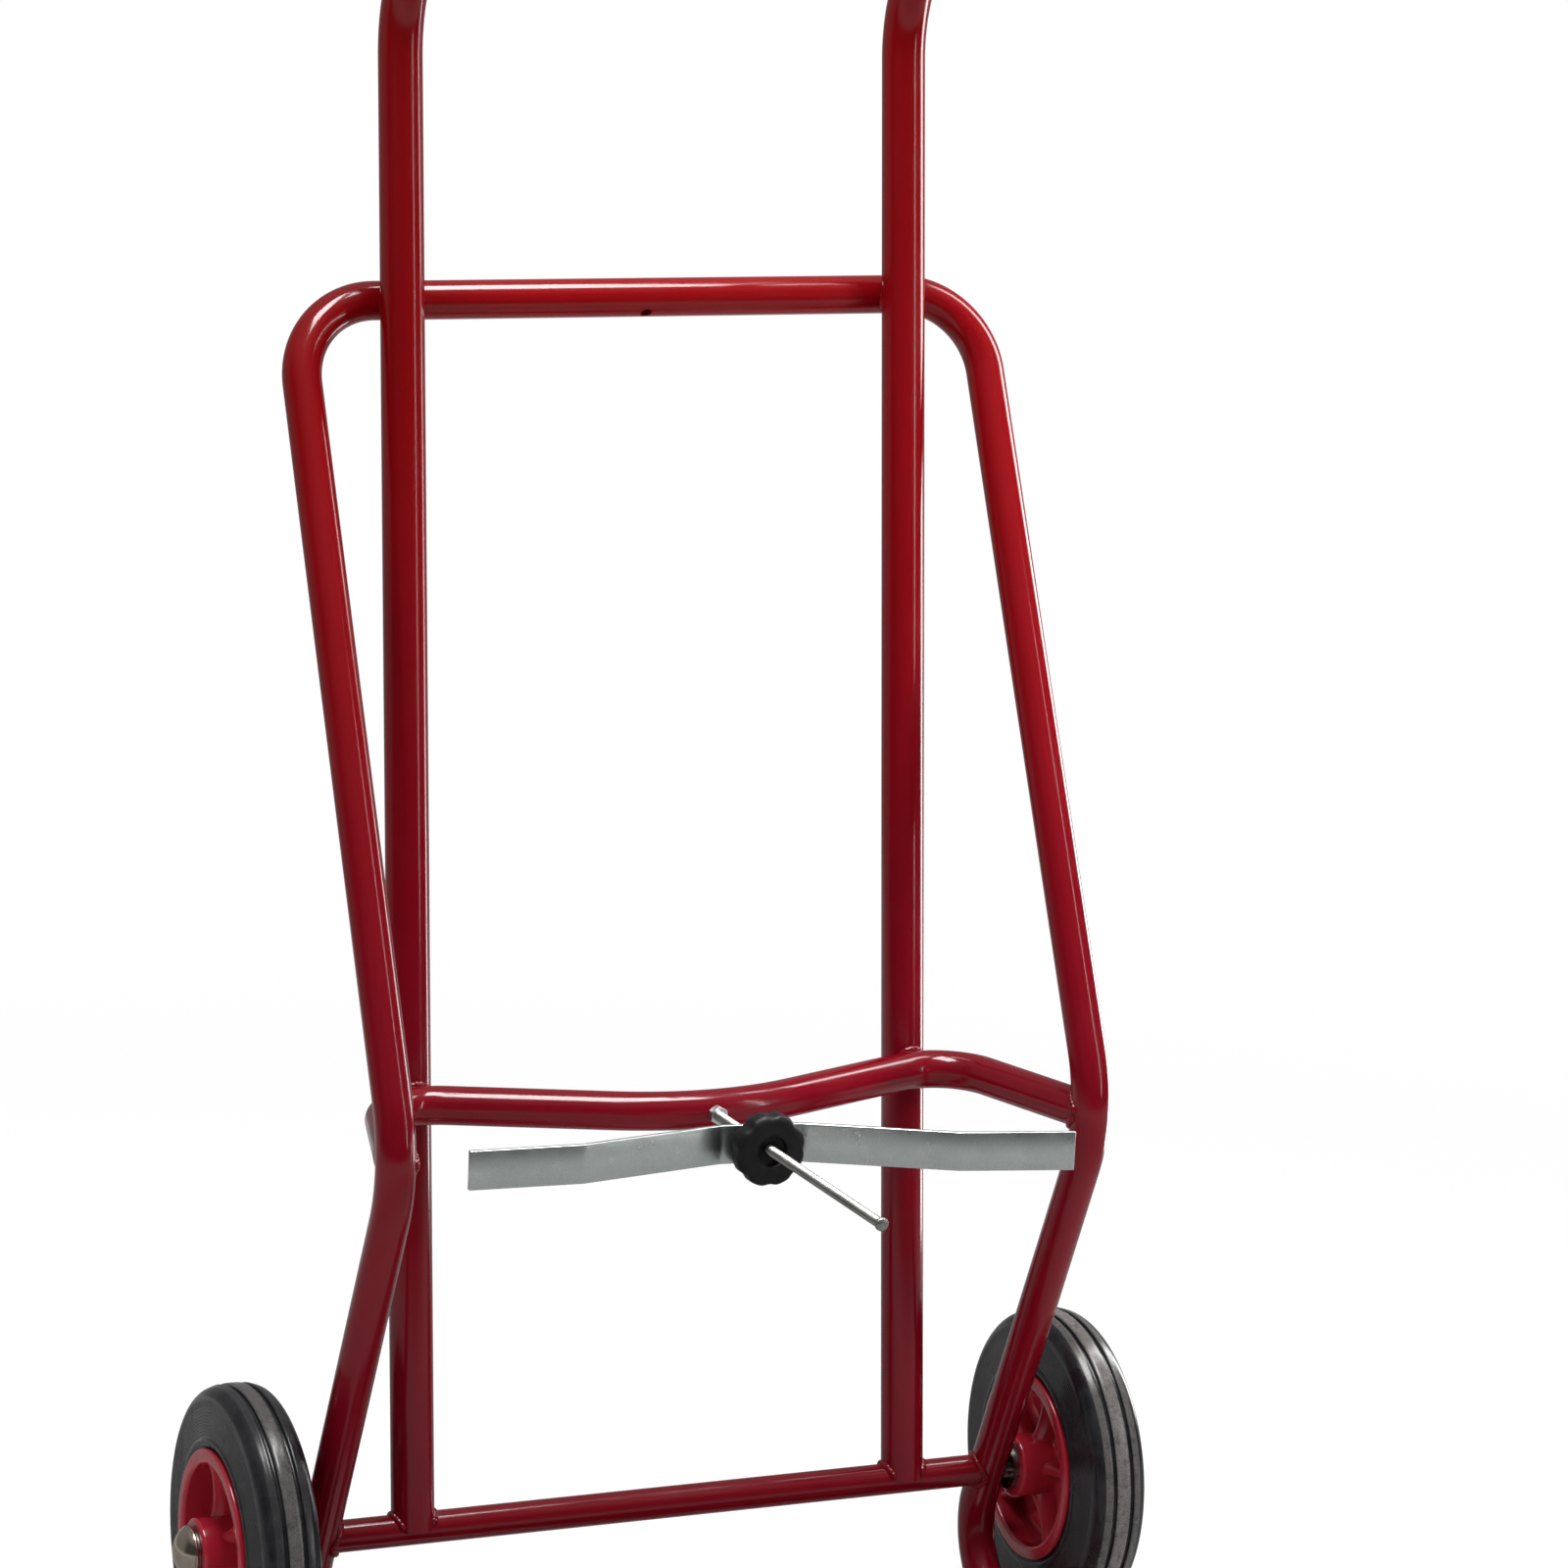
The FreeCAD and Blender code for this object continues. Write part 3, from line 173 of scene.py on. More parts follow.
# the top bar touches the handle tubes from behind, and the saddle's lobes touch them from the front
CONTACT = (HANDLE_R + HOOP_R + WELD_GAP) * math.hypot(1.0, HANDLE_SLOPE)
HOOP_TOP_Y = handle_y(HOOP_TOP_Z) + CONTACT
LOBE_Y = handle_y(APEX_Z) - CONTACT


# Lines and profiles

def unit(vector):
    vector = np.asarray(vector, float)
    return vector / np.linalg.norm(vector)


def round_angles(count):
    return np.linspace(0, FULL_TURN, count, endpoint=False)


def ring(radius, count, flat=1.0):
    angles = round_angles(count)
    return np.stack([radius * np.cos(angles), flat * radius * np.sin(angles)], axis=1)


def flat_section(half_wide, half_thick):
    corners = ((-1, -1), (1, -1), (1, 1), (-1, 1))
    return [(wide * half_wide, thick * half_thick) for wide, thick in corners]


def mirrored(profile):
    """The other half of a profile, in the opposite order."""
    return [(-along, radius) for along, radius in reversed(profile)]


def round_over(along, radius, size, start, count):
    """A rounded edge of a turned profile, from its outside towards its far end."""
    angles = np.linspace(start, QUARTER_TURN, count)
    return [(along + size * math.sin(a), radius + size * math.cos(a)) for a in angles]


def arc_points(before, corner, after, radius, step):
    """Points on the arc of this radius that rounds a corner."""
    back = unit(before - corner)
    ahead = unit(after - corner)
    half = math.acos(np.clip(back @ ahead, -1, 1)) / 2
    centre = corner + unit(back + ahead) * radius / math.sin(half)
    start = unit(corner + back * radius / math.tan(half) - centre)
    end = corner + ahead * radius / math.tan(half) - centre
    other = unit(end - (end @ start) * start)
    turn = math.pi - 2 * half
    count = max(3, int(radius * turn / step))
    angles = np.linspace(0, turn, count + 1)
    return [centre + radius * (start * math.cos(a) + other * math.sin(a)) for a in angles]


def arc_between(start, end, centre, radius, step=3.0):
    """Points on a circle, the shorter way from one point to another."""
    first, last = (math.atan2(*(p - centre)[::-1]) for p in (start, end))
    turn = (last - first + math.pi) % FULL_TURN - math.pi
    angles = first + np.linspace(0, turn, max(4, int(abs(turn) * radius / step)))
    return [centre + radius * np.array([math.cos(a), math.sin(a)]) for a in angles]


def arc_through(first, middle, last, step):
    """Points on the circle through three points."""
    (ax, ay), (bx, by), (cx, cy) = first, middle, last
    system = np.array([[bx - ax, by - ay], [cx - ax, cy - ay]])
    start_square = ax * ax + ay * ay
    squares = np.array([bx * bx + by * by - start_square, cx * cx + cy * cy - start_square]) / 2
    centre = np.linalg.solve(system, squares)
    return arc_between(np.array(first), np.array(last), centre, np.linalg.norm(first - centre), step)


def tangent_from(point, centre, radius, turn):
    """Where the line from a point touches a circle, on the side that turn picks."""
    reach = centre - point
    gap = np.linalg.norm(reach)
    along = gap * gap - radius * radius
    across = np.array([-reach[1], reach[0]]) * (turn * radius * math.sqrt(along) / gap ** 2)
    return point + reach * along / gap ** 2 + across


def rounded(corners, radii, step=3.0):
    """An open line through corner points, each inner corner an arc."""
    corners = [np.asarray(c, float) for c in corners]
    line = [corners[0]]
    for i, radius in enumerate(radii, start=1):
        line += arc_points(corners[i - 1], corners[i], corners[i + 1], radius, step)
    return np.array(line + [corners[-1]])


def rounded_loop(corners, radii, step=0.5):
    """A closed line, each corner an arc, or sharp where its radius is 0."""
    corners = [np.asarray(c, float) for c in corners]
    line = []
    for i, radius in enumerate(radii):
        around = corners[i - 1], corners[i], corners[(i + 1) % len(corners)]
        line += arc_points(*around, radius, step) if radius else [corners[i]]
    return np.array(line)


def resampled(line, step, closed=False):
    """The same line with points at even steps."""
    line = np.concatenate([line, line[:1]]) if closed else np.asarray(line)
    reach = np.concatenate([[0], np.cumsum(np.linalg.norm(np.diff(line, axis=0), axis=1))])
    count = max(4, int(reach[-1] / step))
    places = np.linspace(0, reach[-1], count + 1)
    spread = np.stack([np.interp(places, reach, line[:, k]) for k in range(3)], axis=1)
    return spread[:-1] if closed else spread


def frames_along(path, reference=None, closed=False):
    """Two normals along a line: turned as little as possible, or kept to a reference."""
    ahead = np.roll(path, -1, 0) - np.roll(path, 1, 0) if closed else np.gradient(path, axis=0)
    tangents = ahead / np.linalg.norm(ahead, axis=1)[:, None]
    normal = np.cross(tangents[0], ODD_WAY)
    normals = []
    for tangent in tangents:
        start = normal if reference is None else np.asarray(reference)
        normal = unit(start - tangent * (start @ tangent))
        normals.append(normal)
    normals = np.array(normals)
    return normals, np.cross(tangents, normals)


# Surfaces: each function returns (points, faces)

def grid_faces(rows, columns, wrap_rows=False):
    """The faces between rows of points, each row a closed ring."""
    faces = []
    for i in range(rows if wrap_rows else rows - 1):
        near = i * columns
        far = (i + 1) % rows * columns
        for j in range(columns):
            k = (j + 1) % columns
            faces.append((near + j, near + k, far + k, far + j))
    return faces


def merge(*geometries):
    points = []
    faces = []
    for more_points, more_faces in geometries:
        shift = sum(len(block) for block in points)
        points.append(np.asarray(more_points, float))
        faces += [tuple(shift + i for i in face) for face in more_faces]
    return np.concatenate(points), faces


def lathe(profile, origin, axis, segments, closed=False):
    """A profile turned about an axis, which is never upright."""
    axis = unit(axis)
    side = unit(np.cross(axis, Z_WAY))
    up = np.cross(side, axis)
    angles = round_angles(segments)
    circle = np.outer(np.cos(angles), side) + np.outer(np.sin(angles), up)
    rows = [np.asarray(origin) + along * axis + radius * circle for along, radius in profile]
    return np.concatenate(rows), grid_faces(len(rows), segments, closed)


def sweep(path, section, reference=None, closed=False, scale=None):
    """A section moved along a line, with an end face at each end of an open line."""
    path = np.asarray(path, float)
    section = np.asarray(section, float)
    normals, sides = frames_along(path, reference, closed)
    grow = np.ones(len(path)) if scale is None else np.asarray(scale)
    across = section[None, :, 0:1] * normals[:, None, :] + section[None, :, 1:2] * sides[:, None, :]
    points = path[:, None, :] + grow[:, None, None] * across
    count = len(section)
    last = (len(path) - 1) * count
    faces = grid_faces(len(path), count, closed)
    if not closed:
        faces += [tuple(reversed(range(count))), tuple(range(last, last + count))]
    return points.reshape(-1, 3), faces


# Finished pieces
# points closer than this, in metres, are one
SAME_PLACE = 1e-7
BEVEL_ANGLE = math.radians(50)


def finish_mesh(mesh, sharp):
    """Joins double points, turns all faces outwards, and shades smooth up to a sharp angle."""
    shape = bmesh.new()
    shape.from_mesh(mesh)
    bmesh.ops.remove_doubles(shape, verts=shape.verts, dist=SAME_PLACE)
    bmesh.ops.recalc_face_normals(shape, faces=shape.faces)
    shape.to_mesh(mesh)
    shape.free()
    mesh.shade_smooth()
    mesh.set_sharp_from_angle(angle=math.radians(sharp))


def add_object(name, data):
    obj = bpy.data.objects.new(name, data)
    scene.collection.objects.link(obj)
    return obj


def new_object(name, geometry, sharp):
    points, faces = geometry
    mesh = bpy.data.meshes.new(name)
    mesh.from_pydata((np.asarray(points) * MM).tolist(), [], faces)
    finish_mesh(mesh, sharp)
    return add_object(name, mesh)


def built_mesh(obj):
    """A new mesh of the object as it is seen."""
    graph = bpy.context.evaluated_depsgraph_get()
    return bpy.data.meshes.new_from_object(obj.evaluated_get(graph))


def apply_modifiers(obj, sharp):
    mesh = built_mesh(obj)
    obj.modifiers.clear()
    obj.data = mesh
    finish_mesh(mesh, sharp)


def drill(obj, place, way, radius, depth, sharp):
    rod = lathe([(0, 0), (0, radius), (depth, radius), (depth, 0)], place, way, DRILL_SIDES)
    tool = new_object("drill", rod, sharp)
    cut = obj.modifiers.new("drill", "BOOLEAN")
    cut.object = tool
    cut.operation = "DIFFERENCE"
    cut.solver = "EXACT"
    apply_modifiers(obj, sharp)
    bpy.data.objects.remove(tool)


def soften_edges(obj, width, sharp):
    edges = obj.modifiers.new("edges", "BEVEL")
    edges.width = width * MM
    edges.segments = 3
    edges.limit_method = "ANGLE"
    edges.angle_limit = BEVEL_ANGLE
    apply_modifiers(obj, sharp)


def body_of(node):
    holder = frame["nodes"][node].parent
    return next(name for name, empty in frame["bodies"].items() if empty == holder)


def piece(name, geometry, look, nodes=(), slot=None, body=None, sharp=40.0, bevel=0.0, hole=None):
    """A finished piece of the object, riding on a body, and standing for the CAD nodes it names.

    The slot argument is not used. A hole is (place, way, radius, depth).
    """
    obj = new_object(name, geometry, sharp)
    if hole:
        drill(obj, *hole, sharp)
    if bevel:
        soften_edges(obj, bevel, sharp)
    obj.data.materials.clear()
    obj.data.materials.append(LOOKS[look])
    slot = slot or look
    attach(obj, body or body_of(nodes[0]))
    if nodes:
        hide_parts(*nodes)
    return obj


# Materials
WHITE = (1.0, 1.0, 1.0, 1.0)
# most of a noise lies in this range
MIDDLE = (0.3, 0.7)
# sockets of a Mix node for colours
MIX_FIRST = 6
MIX_SECOND = 7
MIX_RESULT = 2


class Nodes:
    """Helpers that add shader nodes to one tree."""

    def __init__(self, tree):
        self.tree = tree

    def add(self, kind, values=None, **settings):
        """A new node with these settings, and with values for some of its inputs."""
        node = self.tree.nodes.new(kind)
        for key, value in settings.items():
            setattr(node, key, value)
        for socket, value in (values or {}).items():
            node.inputs[socket].default_value = value
        return node

    def join(self, source, target):
        self.tree.links.new(source, target)

    def compute(self, operation, first, second):
        """Arithmetic on two values, each a number or another node's output."""
        node = self.add("ShaderNodeMath", operation=operation)
        for socket, value in zip(node.inputs, (first, second)):
            if isinstance(value, float):
                socket.default_value = value
            else:
                self.join(value, socket)
        return node.outputs["Value"]

    def spread(self, source, low, high, to_low=0.0, to_high=1.0, kind="LINEAR"):
        """Values from low to high, mapped onto another range and held at its ends."""
        values = {"From Min": low, "From Max": high, "To Min": to_low, "To Max": to_high}
        node = self.add("ShaderNodeMapRange", values, interpolation_type=kind)
        self.join(source, node.inputs["Value"])
        return node.outputs["Result"]

    def ramp(self, *values):
        """The same with soft ends."""
        return self.spread(*values, kind="SMOOTHSTEP")

    def coordinates(self, kind):
        split = self.add("ShaderNodeSeparateXYZ")
        self.join(self.add("ShaderNodeTexCoord").outputs[kind], split.inputs["Vector"])
        return split.outputs

    def camera_ray(self):
        return self.add("ShaderNodeLightPath").outputs["Is Camera Ray"]

    def seen_directly(self):
        """1 where a camera, mirror or glass ray looks, 0 for the light that falls on the object."""
        path = self.add("ShaderNodeLightPath").outputs
        seen = path["Is Camera Ray"]
        for kind in ("Is Glossy Ray", "Is Transmission Ray"):
            seen = self.compute("MAXIMUM", seen, path[kind])
        return seen

    def mix_shaders(self, factor, first, second, output):
        node = self.add("ShaderNodeMixShader")
        for socket, source in zip(node.inputs, (factor, first, second)):
            self.join(source, socket)
        self.join(node.outputs["Shader"], self.tree.nodes[output].inputs["Surface"])


class Look(Nodes):
    """A procedural material round one Principled shader."""

    def __init__(self, name, **sockets):
        self.material = bpy.data.materials.new(name)
        self.material.use_nodes = True
        super().__init__(self.material.node_tree)
        self.shader = self.tree.nodes["Principled BSDF"]
        for socket, value in sockets.items():
            self.shader.inputs[socket.replace("_", " ")].default_value = value
        self.place = self.add("ShaderNodeTexCoord").outputs["Object"]

    def noise(self, scale, detail, rough=0.55, stretch=None):
        node = self.add("ShaderNodeTexNoise", {"Scale": scale, "Detail": detail, "Roughness": rough})
        place = self.place
        if stretch:
            mapping = self.add("ShaderNodeMapping", {"Scale": stretch})
            self.join(place, mapping.inputs["Vector"])
            place = mapping.outputs["Vector"]
        self.join(place, node.inputs["Vector"])
        return node.outputs["Fac"]

    def cloud(self, scale, detail, window, ends=(0.0, 1.0), **more):
        """Noise whose window of values is mapped onto two end values."""
        return self.spread(self.noise(scale, detail, **more), *window, *ends)

    def cells(self, scale):
        node = self.add("ShaderNodeTexVoronoi", {"Scale": scale})
        self.join(self.place, node.inputs["Vector"])
        return node.outputs["Distance"]

    def mask(self, name):
        return self.add("ShaderNodeAttribute", attribute_name=name).outputs["Fac"]

    def blend(self, factor, first, second):
        """A colour between two, each a colour or another node's output."""
        node = self.add("ShaderNodeMix", data_type="RGBA")
        self.join(factor, node.inputs["Factor"])
        for socket, value in ((node.inputs[MIX_FIRST], first), (node.inputs[MIX_SECOND], second)):
            if isinstance(value, tuple):
                socket.default_value = (*value, 1.0)
            else:
                self.join(value, socket)
        return node.outputs[MIX_RESULT]

    def colour(self, source):
        self.join(source, self.shader.inputs["Base Color"])

    def rough(self, source):
        self.join(source, self.shader.inputs["Roughness"])

    def bumps(self, *layers):
        """Layers of (height, strength, distance in millimetres), one over the other."""
        normal = None
        for height, strength, distance in layers:
            node = self.add("ShaderNodeBump", {"Strength": strength, "Distance": distance * MM})
            self.join(height, node.inputs["Height"])
            if normal is not None:
                self.join(normal, node.inputs["Normal"])
            normal = node.outputs["Normal"]
        self.join(normal, self.shader.inputs["Normal"])


def paint(name, high, low, pale, gloss, shine):
    """Powder coat: a little colour drift, dust specks, orange peel, uneven gloss, and painted shade that
    turns the colour darker and bluer low down.
    """
    look = Look(name, Specular_IOR_Level=shine, Coat_Weight=0.16, Coat_Roughness=0.05)
    height = look.coordinates("Object")["Z"]
    # painted shade: up to 0.5 m the paint takes the darker, bluer low colour, and from 0.95 m up the high
    # one
    body = look.blend(look.spread(height, 0.50, 0.95), low, high)
    drift = look.blend(look.cloud(7, 4, (0.35, 0.75)), body, pale)
    softened = look.blend(look.cloud(2.5, 2, (0.3, 0.8), (0.0, 0.35)), body, drift)
    specks = look.cloud(420, 2, (0.70, 0.76), (0.0, 0.30))
    look.colour(look.blend(specks, softened, pale))
    look.rough(look.cloud(30, 4, MIDDLE, (gloss, gloss + 0.10)))
    look.bumps((look.noise(650, 2), 0.07, 0.25), (look.noise(90, 3), 0.04, 0.6))
    return look.material


def rubber(name):
    """Tyre rubber: near black and grimy, with dust where the mask of that name says so."""
    look = Look(name, Specular_IOR_Level=0.34)
    patchy = look.cloud(160, 6, (0.26, 0.50), (0.25, 1.0), rough=0.7)
    dust = look.compute("MULTIPLY", look.mask("dust"), patchy)
    grime = look.blend(look.cloud(60, 4, (0.4, 0.7)), (0.0085, 0.0085, 0.0100), (0.017, 0.017, 0.0195))
    dusty = look.blend(look.cloud(1500, 3, (0.34, 0.64)), (0.062, 0.057, 0.055), (0.150, 0.138, 0.133))
    look.colour(look.blend(dust, grime, dusty))
    look.rough(look.cloud(45, 4, MIDDLE, (0.15, 0.30)))
    look.bumps((look.noise(1300, 2), 0.10, 0.2), (look.noise(220, 3), 0.07, 0.4))
    return look.material


def plated(name, dark, mid, bright, rough, grain, drawn=None):
    """Plated or bare steel: cloudy and fine-grained, with drawn marks where they are asked for."""
    look = Look(name, Metallic=1.0)
    clouds = look.blend(look.cloud(34, 5, (0.32, 0.68), rough=0.6), dark, mid)
    fine = look.cloud(grain, 4, (0.40, 0.66), (0.0, 0.75), rough=0.7, stretch=drawn)
    look.colour(look.blend(fine, clouds, bright))
    look.rough(look.cloud(70, 5, MIDDLE, rough))
    look.bumps((look.noise(grain, 3, 0.6, drawn), 0.14, 0.12), (look.cells(300), 0.04, 0.15))
    return look.material


def chrome(name):
    look = Look(name, Metallic=1.0)
    # the tan colours are a painted warm reflection, laid into the chrome's colour
    look.colour(look.blend(look.cloud(55, 4, (0.35, 0.7)), (0.47, 0.39, 0.31), (0.62, 0.545, 0.46)))
    look.rough(look.cloud(120, 5, MIDDLE, (0.07, 0.22)))
    look.bumps((look.noise(260, 3), 0.05, 0.2), (look.noise(38, 2), 0.05, 1.0))
    return look.material


def moulded(name, base, worn, rough, grain, shine):
    """Moulded plastic with a fine grain."""
    look = Look(name, Specular_IOR_Level=shine)
    look.colour(look.blend(look.cloud(80, 5, (0.40, 0.78)), base, worn))
    look.rough(look.cloud(140, 4, MIDDLE, rough))
    look.bumps((look.noise(grain, 2), 0.22, 0.18), (look.noise(grain / 6, 3), 0.06, 0.4))
    return look.material


# marks drawn out along Y
ALONG_Y = (1.0, 0.06, 1.0)
# colour high up, darker and bluer colour low down as painted shade, pale drift, least roughness, shine
PAINTS = {
    "frame_red": ((0.140, 0.0011, 0.0022), (0.112, 0.0011, 0.0056), (0.185, 0.0055, 0.011), 0.10, 0.27),
    # the rim's pale colour is whitish pink: partly random drift and dust specks, partly a painted sheen
    "rim_red": ((0.26, 0.007, 0.015), (0.26, 0.008, 0.018), (0.31, 0.036, 0.046), 0.13, 0.50),
}
# dark, middle and bright colour, roughness from and to, grain, drawn marks
METALS = {
    "zinc": ((0.60, 0.655, 0.645), (0.67, 0.72, 0.71), (0.78, 0.82, 0.80), (0.26, 0.36), 900),
    "bare_steel": ((0.16, 0.16, 0.155), (0.27, 0.27, 0.26), (0.42, 0.41, 0.39), (0.20, 0.34), 700, ALONG_Y),
    # the stud's colours are a darker copy of the zinc: painted shade on the threaded stud
    "stud_zinc": ((0.25, 0.25, 0.24), (0.38, 0.38, 0.36), (0.55, 0.54, 0.51), (0.34, 0.46), 700, ALONG_Y),
    # the knob's insert is made nearly black: painted shade of the recess it sits in
    "insert_steel": ((0.012, 0.012, 0.012), (0.022, 0.022, 0.021), (0.045, 0.045, 0.043), (0.40, 0.55), 800),
}
# colour, worn colour, roughness from and to, grain, shine
PLASTICS = {
    "knob_black": ((0.0045, 0.0045, 0.0048), (0.010, 0.010, 0.0105), (0.38, 0.54), 1700, 0.22),
    "grip_black": ((0.009, 0.009, 0.0095), (0.020, 0.0195, 0.0195), (0.48, 0.66), 1400, 0.3),
    "plug_black": ((0.008, 0.008, 0.0085), (0.019, 0.0185, 0.0185), (0.42, 0.60), 1500, 0.3),
    "bush_plastic": ((0.56, 0.54, 0.48), (0.66, 0.64, 0.58), (0.40, 0.55), 1200, 0.5),
}
LOOKS = {"tyre_rubber": rubber("tyre_rubber"), "cap_chrome": chrome("cap_chrome")}
for build, group in ((paint, PAINTS), (plated, METALS), (moulded, PLASTICS)):
    for name, values in group.items():
        LOOKS[name] = build(name, *values)

# The CAD's own shapes are kept for these plain pieces
# the knob's insert takes the nearly black look, a painted shade of its recess
NODE_SLOTS = {"axle": "bare_steel", "clamp_washer": "zinc", "knob_insert": "insert_steel"}
for side, _ in SIDES:
    NODE_SLOTS[side + "_hub_bush"] = "bush_plastic"
    NODE_SLOTS[side + "_axle_spacer"] = "bare_steel"
    NODE_SLOTS[side + "_axle_washer"] = "bare_steel"
for node, slot in NODE_SLOTS.items():
    data = frame["nodes"][node].data
    data.materials.clear()
    data.materials.append(LOOKS[slot])

# Tube frame: the hoop is one bent tube from rail to rail
half_hoop = [(RAIL_END_Y, RAIL_Z), (HOOP_FOOT_Y, RAIL_Z), (APEX_Y, APEX_Z), (HOOP_TOP_Y, HOOP_TOP_Z)]
half_bends = [FOOT_BEND, APEX_BEND, TOP_BEND]
hoop_corners = [(-HOOP_X, y, z) for y, z in half_hoop] + [(HOOP_X, y, z) for y, z in half_hoop[::-1]]
hoop_line = rounded(hoop_corners, half_bends + half_bends[::-1])
hole_way = (0.0, -math.cos(HANG_HOLE_TILT), -math.sin(HANG_HOLE_TILT))
piece(
    "hoop_tube",
    sweep(hoop_line, ring(HOOP_R, TUBE_SIDES)),
    "frame_red",
    ("top_hoop", "left_side_tube", "right_side_tube"),
    hole=((0.0, HOOP_TOP_Y, HOOP_TOP_Z), hole_way, HANG_HOLE_R, HANG_HOLE_DEEP),
)

handle_lines = {}
for side, sign in SIDES:
    corners = [(sign * HANDLE_X, y, z) for y, z in ((AXLE_Y, AXLE_Z), HANDLE_CORNER, HANDLE_END)]
    handle_lines[side] = rounded(corners, [HANDLE_BEND])
    post = sweep(handle_lines[side], ring(HANDLE_R, TUBE_SIDES))
    piece(side + "_post", post, "frame_red", (side + "_handle_tube",))

cross_line = np.array([(-HOOP_X, AXLE_Y, AXLE_Z), (HOOP_X, AXLE_Y, AXLE_Z)])
piece("cross_tube", sweep(cross_line, ring(CROSS_R, CROSS_SIDES)), "frame_red", ("lower_cross_tube",))

# Saddle bar
END_RUN_STOPS = (0.0, 10.0, 18.0, 30.0)
UNDER_SKIN_R = HOOP_R - 1.0
DRAW_IN = 6.0


def saddle_path():
    """The middle line of the saddle bar: end run, lobe, cusp, lobe, end run, all tangent."""
    lobe = np.array([-HANDLE_X, LOBE_Y - LOBE_ROUND])
    cusp = np.array([0.0, CUSP_Y + CUSP_ROUND])
    end = np.array([-HOOP_X, SADDLE_END_Y])
    swap = lobe + (cusp - lobe) * LOBE_ROUND / (LOBE_ROUND + CUSP_ROUND)
    on_lobe = tangent_from(end, lobe, LOBE_ROUND, 1)
    off_lobe = tangent_from(swap, lobe, LOBE_ROUND, -1)
    on_cusp = tangent_from(swap, cusp, CUSP_ROUND, -1)
    end_run = unit(on_lobe - end)
    left_half = [end + reach * end_run for reach in END_RUN_STOPS]
    left_half += arc_between(on_lobe, off_lobe, lobe, LOBE_ROUND)
    left_half += arc_between(on_cusp, np.array([0.0, CUSP_Y]), cusp, CUSP_ROUND)
    flat_line = np.array(left_half + [p * (-1, 1) for p in left_half[-2::-1]])
    return np.column_stack([flat_line, np.full(len(flat_line), APEX_Z)])


saddle_line = saddle_path()
hoop_fine = resampled(hoop_line, 1.0)
saddle_points, saddle_faces = sweep(saddle_line, ring(SADDLE_R, TUBE_SIDES))
# the end faces are drawn in under the hoop's skin
for i, point in enumerate(saddle_points):
    if abs(point[0]) > HOOP_X - HOOP_R:
        axis_point = hoop_fine[np.linalg.norm(hoop_fine - point, axis=1).argmin()]
        reach = np.linalg.norm(point - axis_point)
        if UNDER_SKIN_R < reach < HOOP_R + DRAW_IN:
            saddle_points[i] = axis_point + (point - axis_point) * UNDER_SKIN_R / reach
piece("saddle_tube", (saddle_points, saddle_faces), "frame_red", ("saddle_bar",))

# Weld beads where tubes meet
BEAD_STEP = 0.9
BEAD_PITCH = 3.4
BEAD_RIPPLE = 0.10
BEAD_UNEVEN = 0.05
BEAD_TAPER = 1.2
BEAD_TIP = 0.05
SEAM_R = 3.0
SEAM_NEAR = 90
SEAM_COUNT = 90
# fine steps along the end of a bar, along the foot of a post, and for the way they run
FINE_STEP = 0.5
BAR_STEPS = 180
POST_STEPS = 160
WAY_STEPS = 40
# seams end this far short of the hoop's middle line
SEAM_INSIDE = 3.0
CROSSING_R = 3.1
CROSSING_REACH = 10.5
CROSSING_COUNT = 48
STITCH_R = 2.5
STITCH_HALF = 13
STITCH_OUT = 9.0
STITCH_Z = 5.6
STITCH_PLACES = (-58.0, 0.0, 58.0)
POST_UP = unit((0.0, HANDLE_SLOPE, 1.0))
POST_BACK = unit((0.0, 1.0, -HANDLE_SLOPE))
saddle_fine = resampled(saddle_line, FINE_STEP)
cross_fine = resampled(cross_line, FINE_STEP)


def bead(line, radius, reference, closed=True):
    """A weld bead: a rounded cord with the ripples that the torch leaves."""
    line = resampled(line, BEAD_STEP, closed)
    steps = np.arange(len(line)) * BEAD_STEP
    uneven = BEAD_UNEVEN * chance.randn(len(line))
    ripple = 1 + BEAD_RIPPLE * np.sin(FULL_TURN * steps / BEAD_PITCH) + uneven
    if not closed:
        to_end = np.minimum(steps, steps[::-1]) / (radius * BEAD_TAPER)
        ripple *= np.sqrt(np.clip(to_end + BEAD_TIP, 0, 1))
    return sweep(line, ring(radius, BEAD_SIDES), reference, closed, ripple)


def seam(path, radius, other, other_radius):
    """Runs of points where the skin of a tube, followed along its line, enters another tube."""
    normals, sides = frames_along(path)
    near = other[np.linalg.norm(other - path[-1], axis=1) < SEAM_NEAR]
    hits = []
    for angle in round_angles(SEAM_COUNT):
        line = path + radius * (math.cos(angle) * normals + math.sin(angle) * sides)
        gaps = np.linalg.norm(line[:, None, :] - near[None, :, :], axis=2).min(axis=1)
        inside = np.nonzero(gaps < other_radius)[0]
        hits.append(line[inside[0]] if len(inside) else None)
    if all(hit is not None for hit in hits):
        return [np.array(hits)], True
    first = next(i for i in range(SEAM_COUNT) if hits[i - 1] is None and hits[i] is not None)
    runs = []
    run = []
    for hit in hits[first:] + hits[:first]:
        if hit is not None:
            run.append(hit)
        elif run:
            runs.append(np.array(run))
            run = []
    return runs + ([np.array(run)] if run else []), False


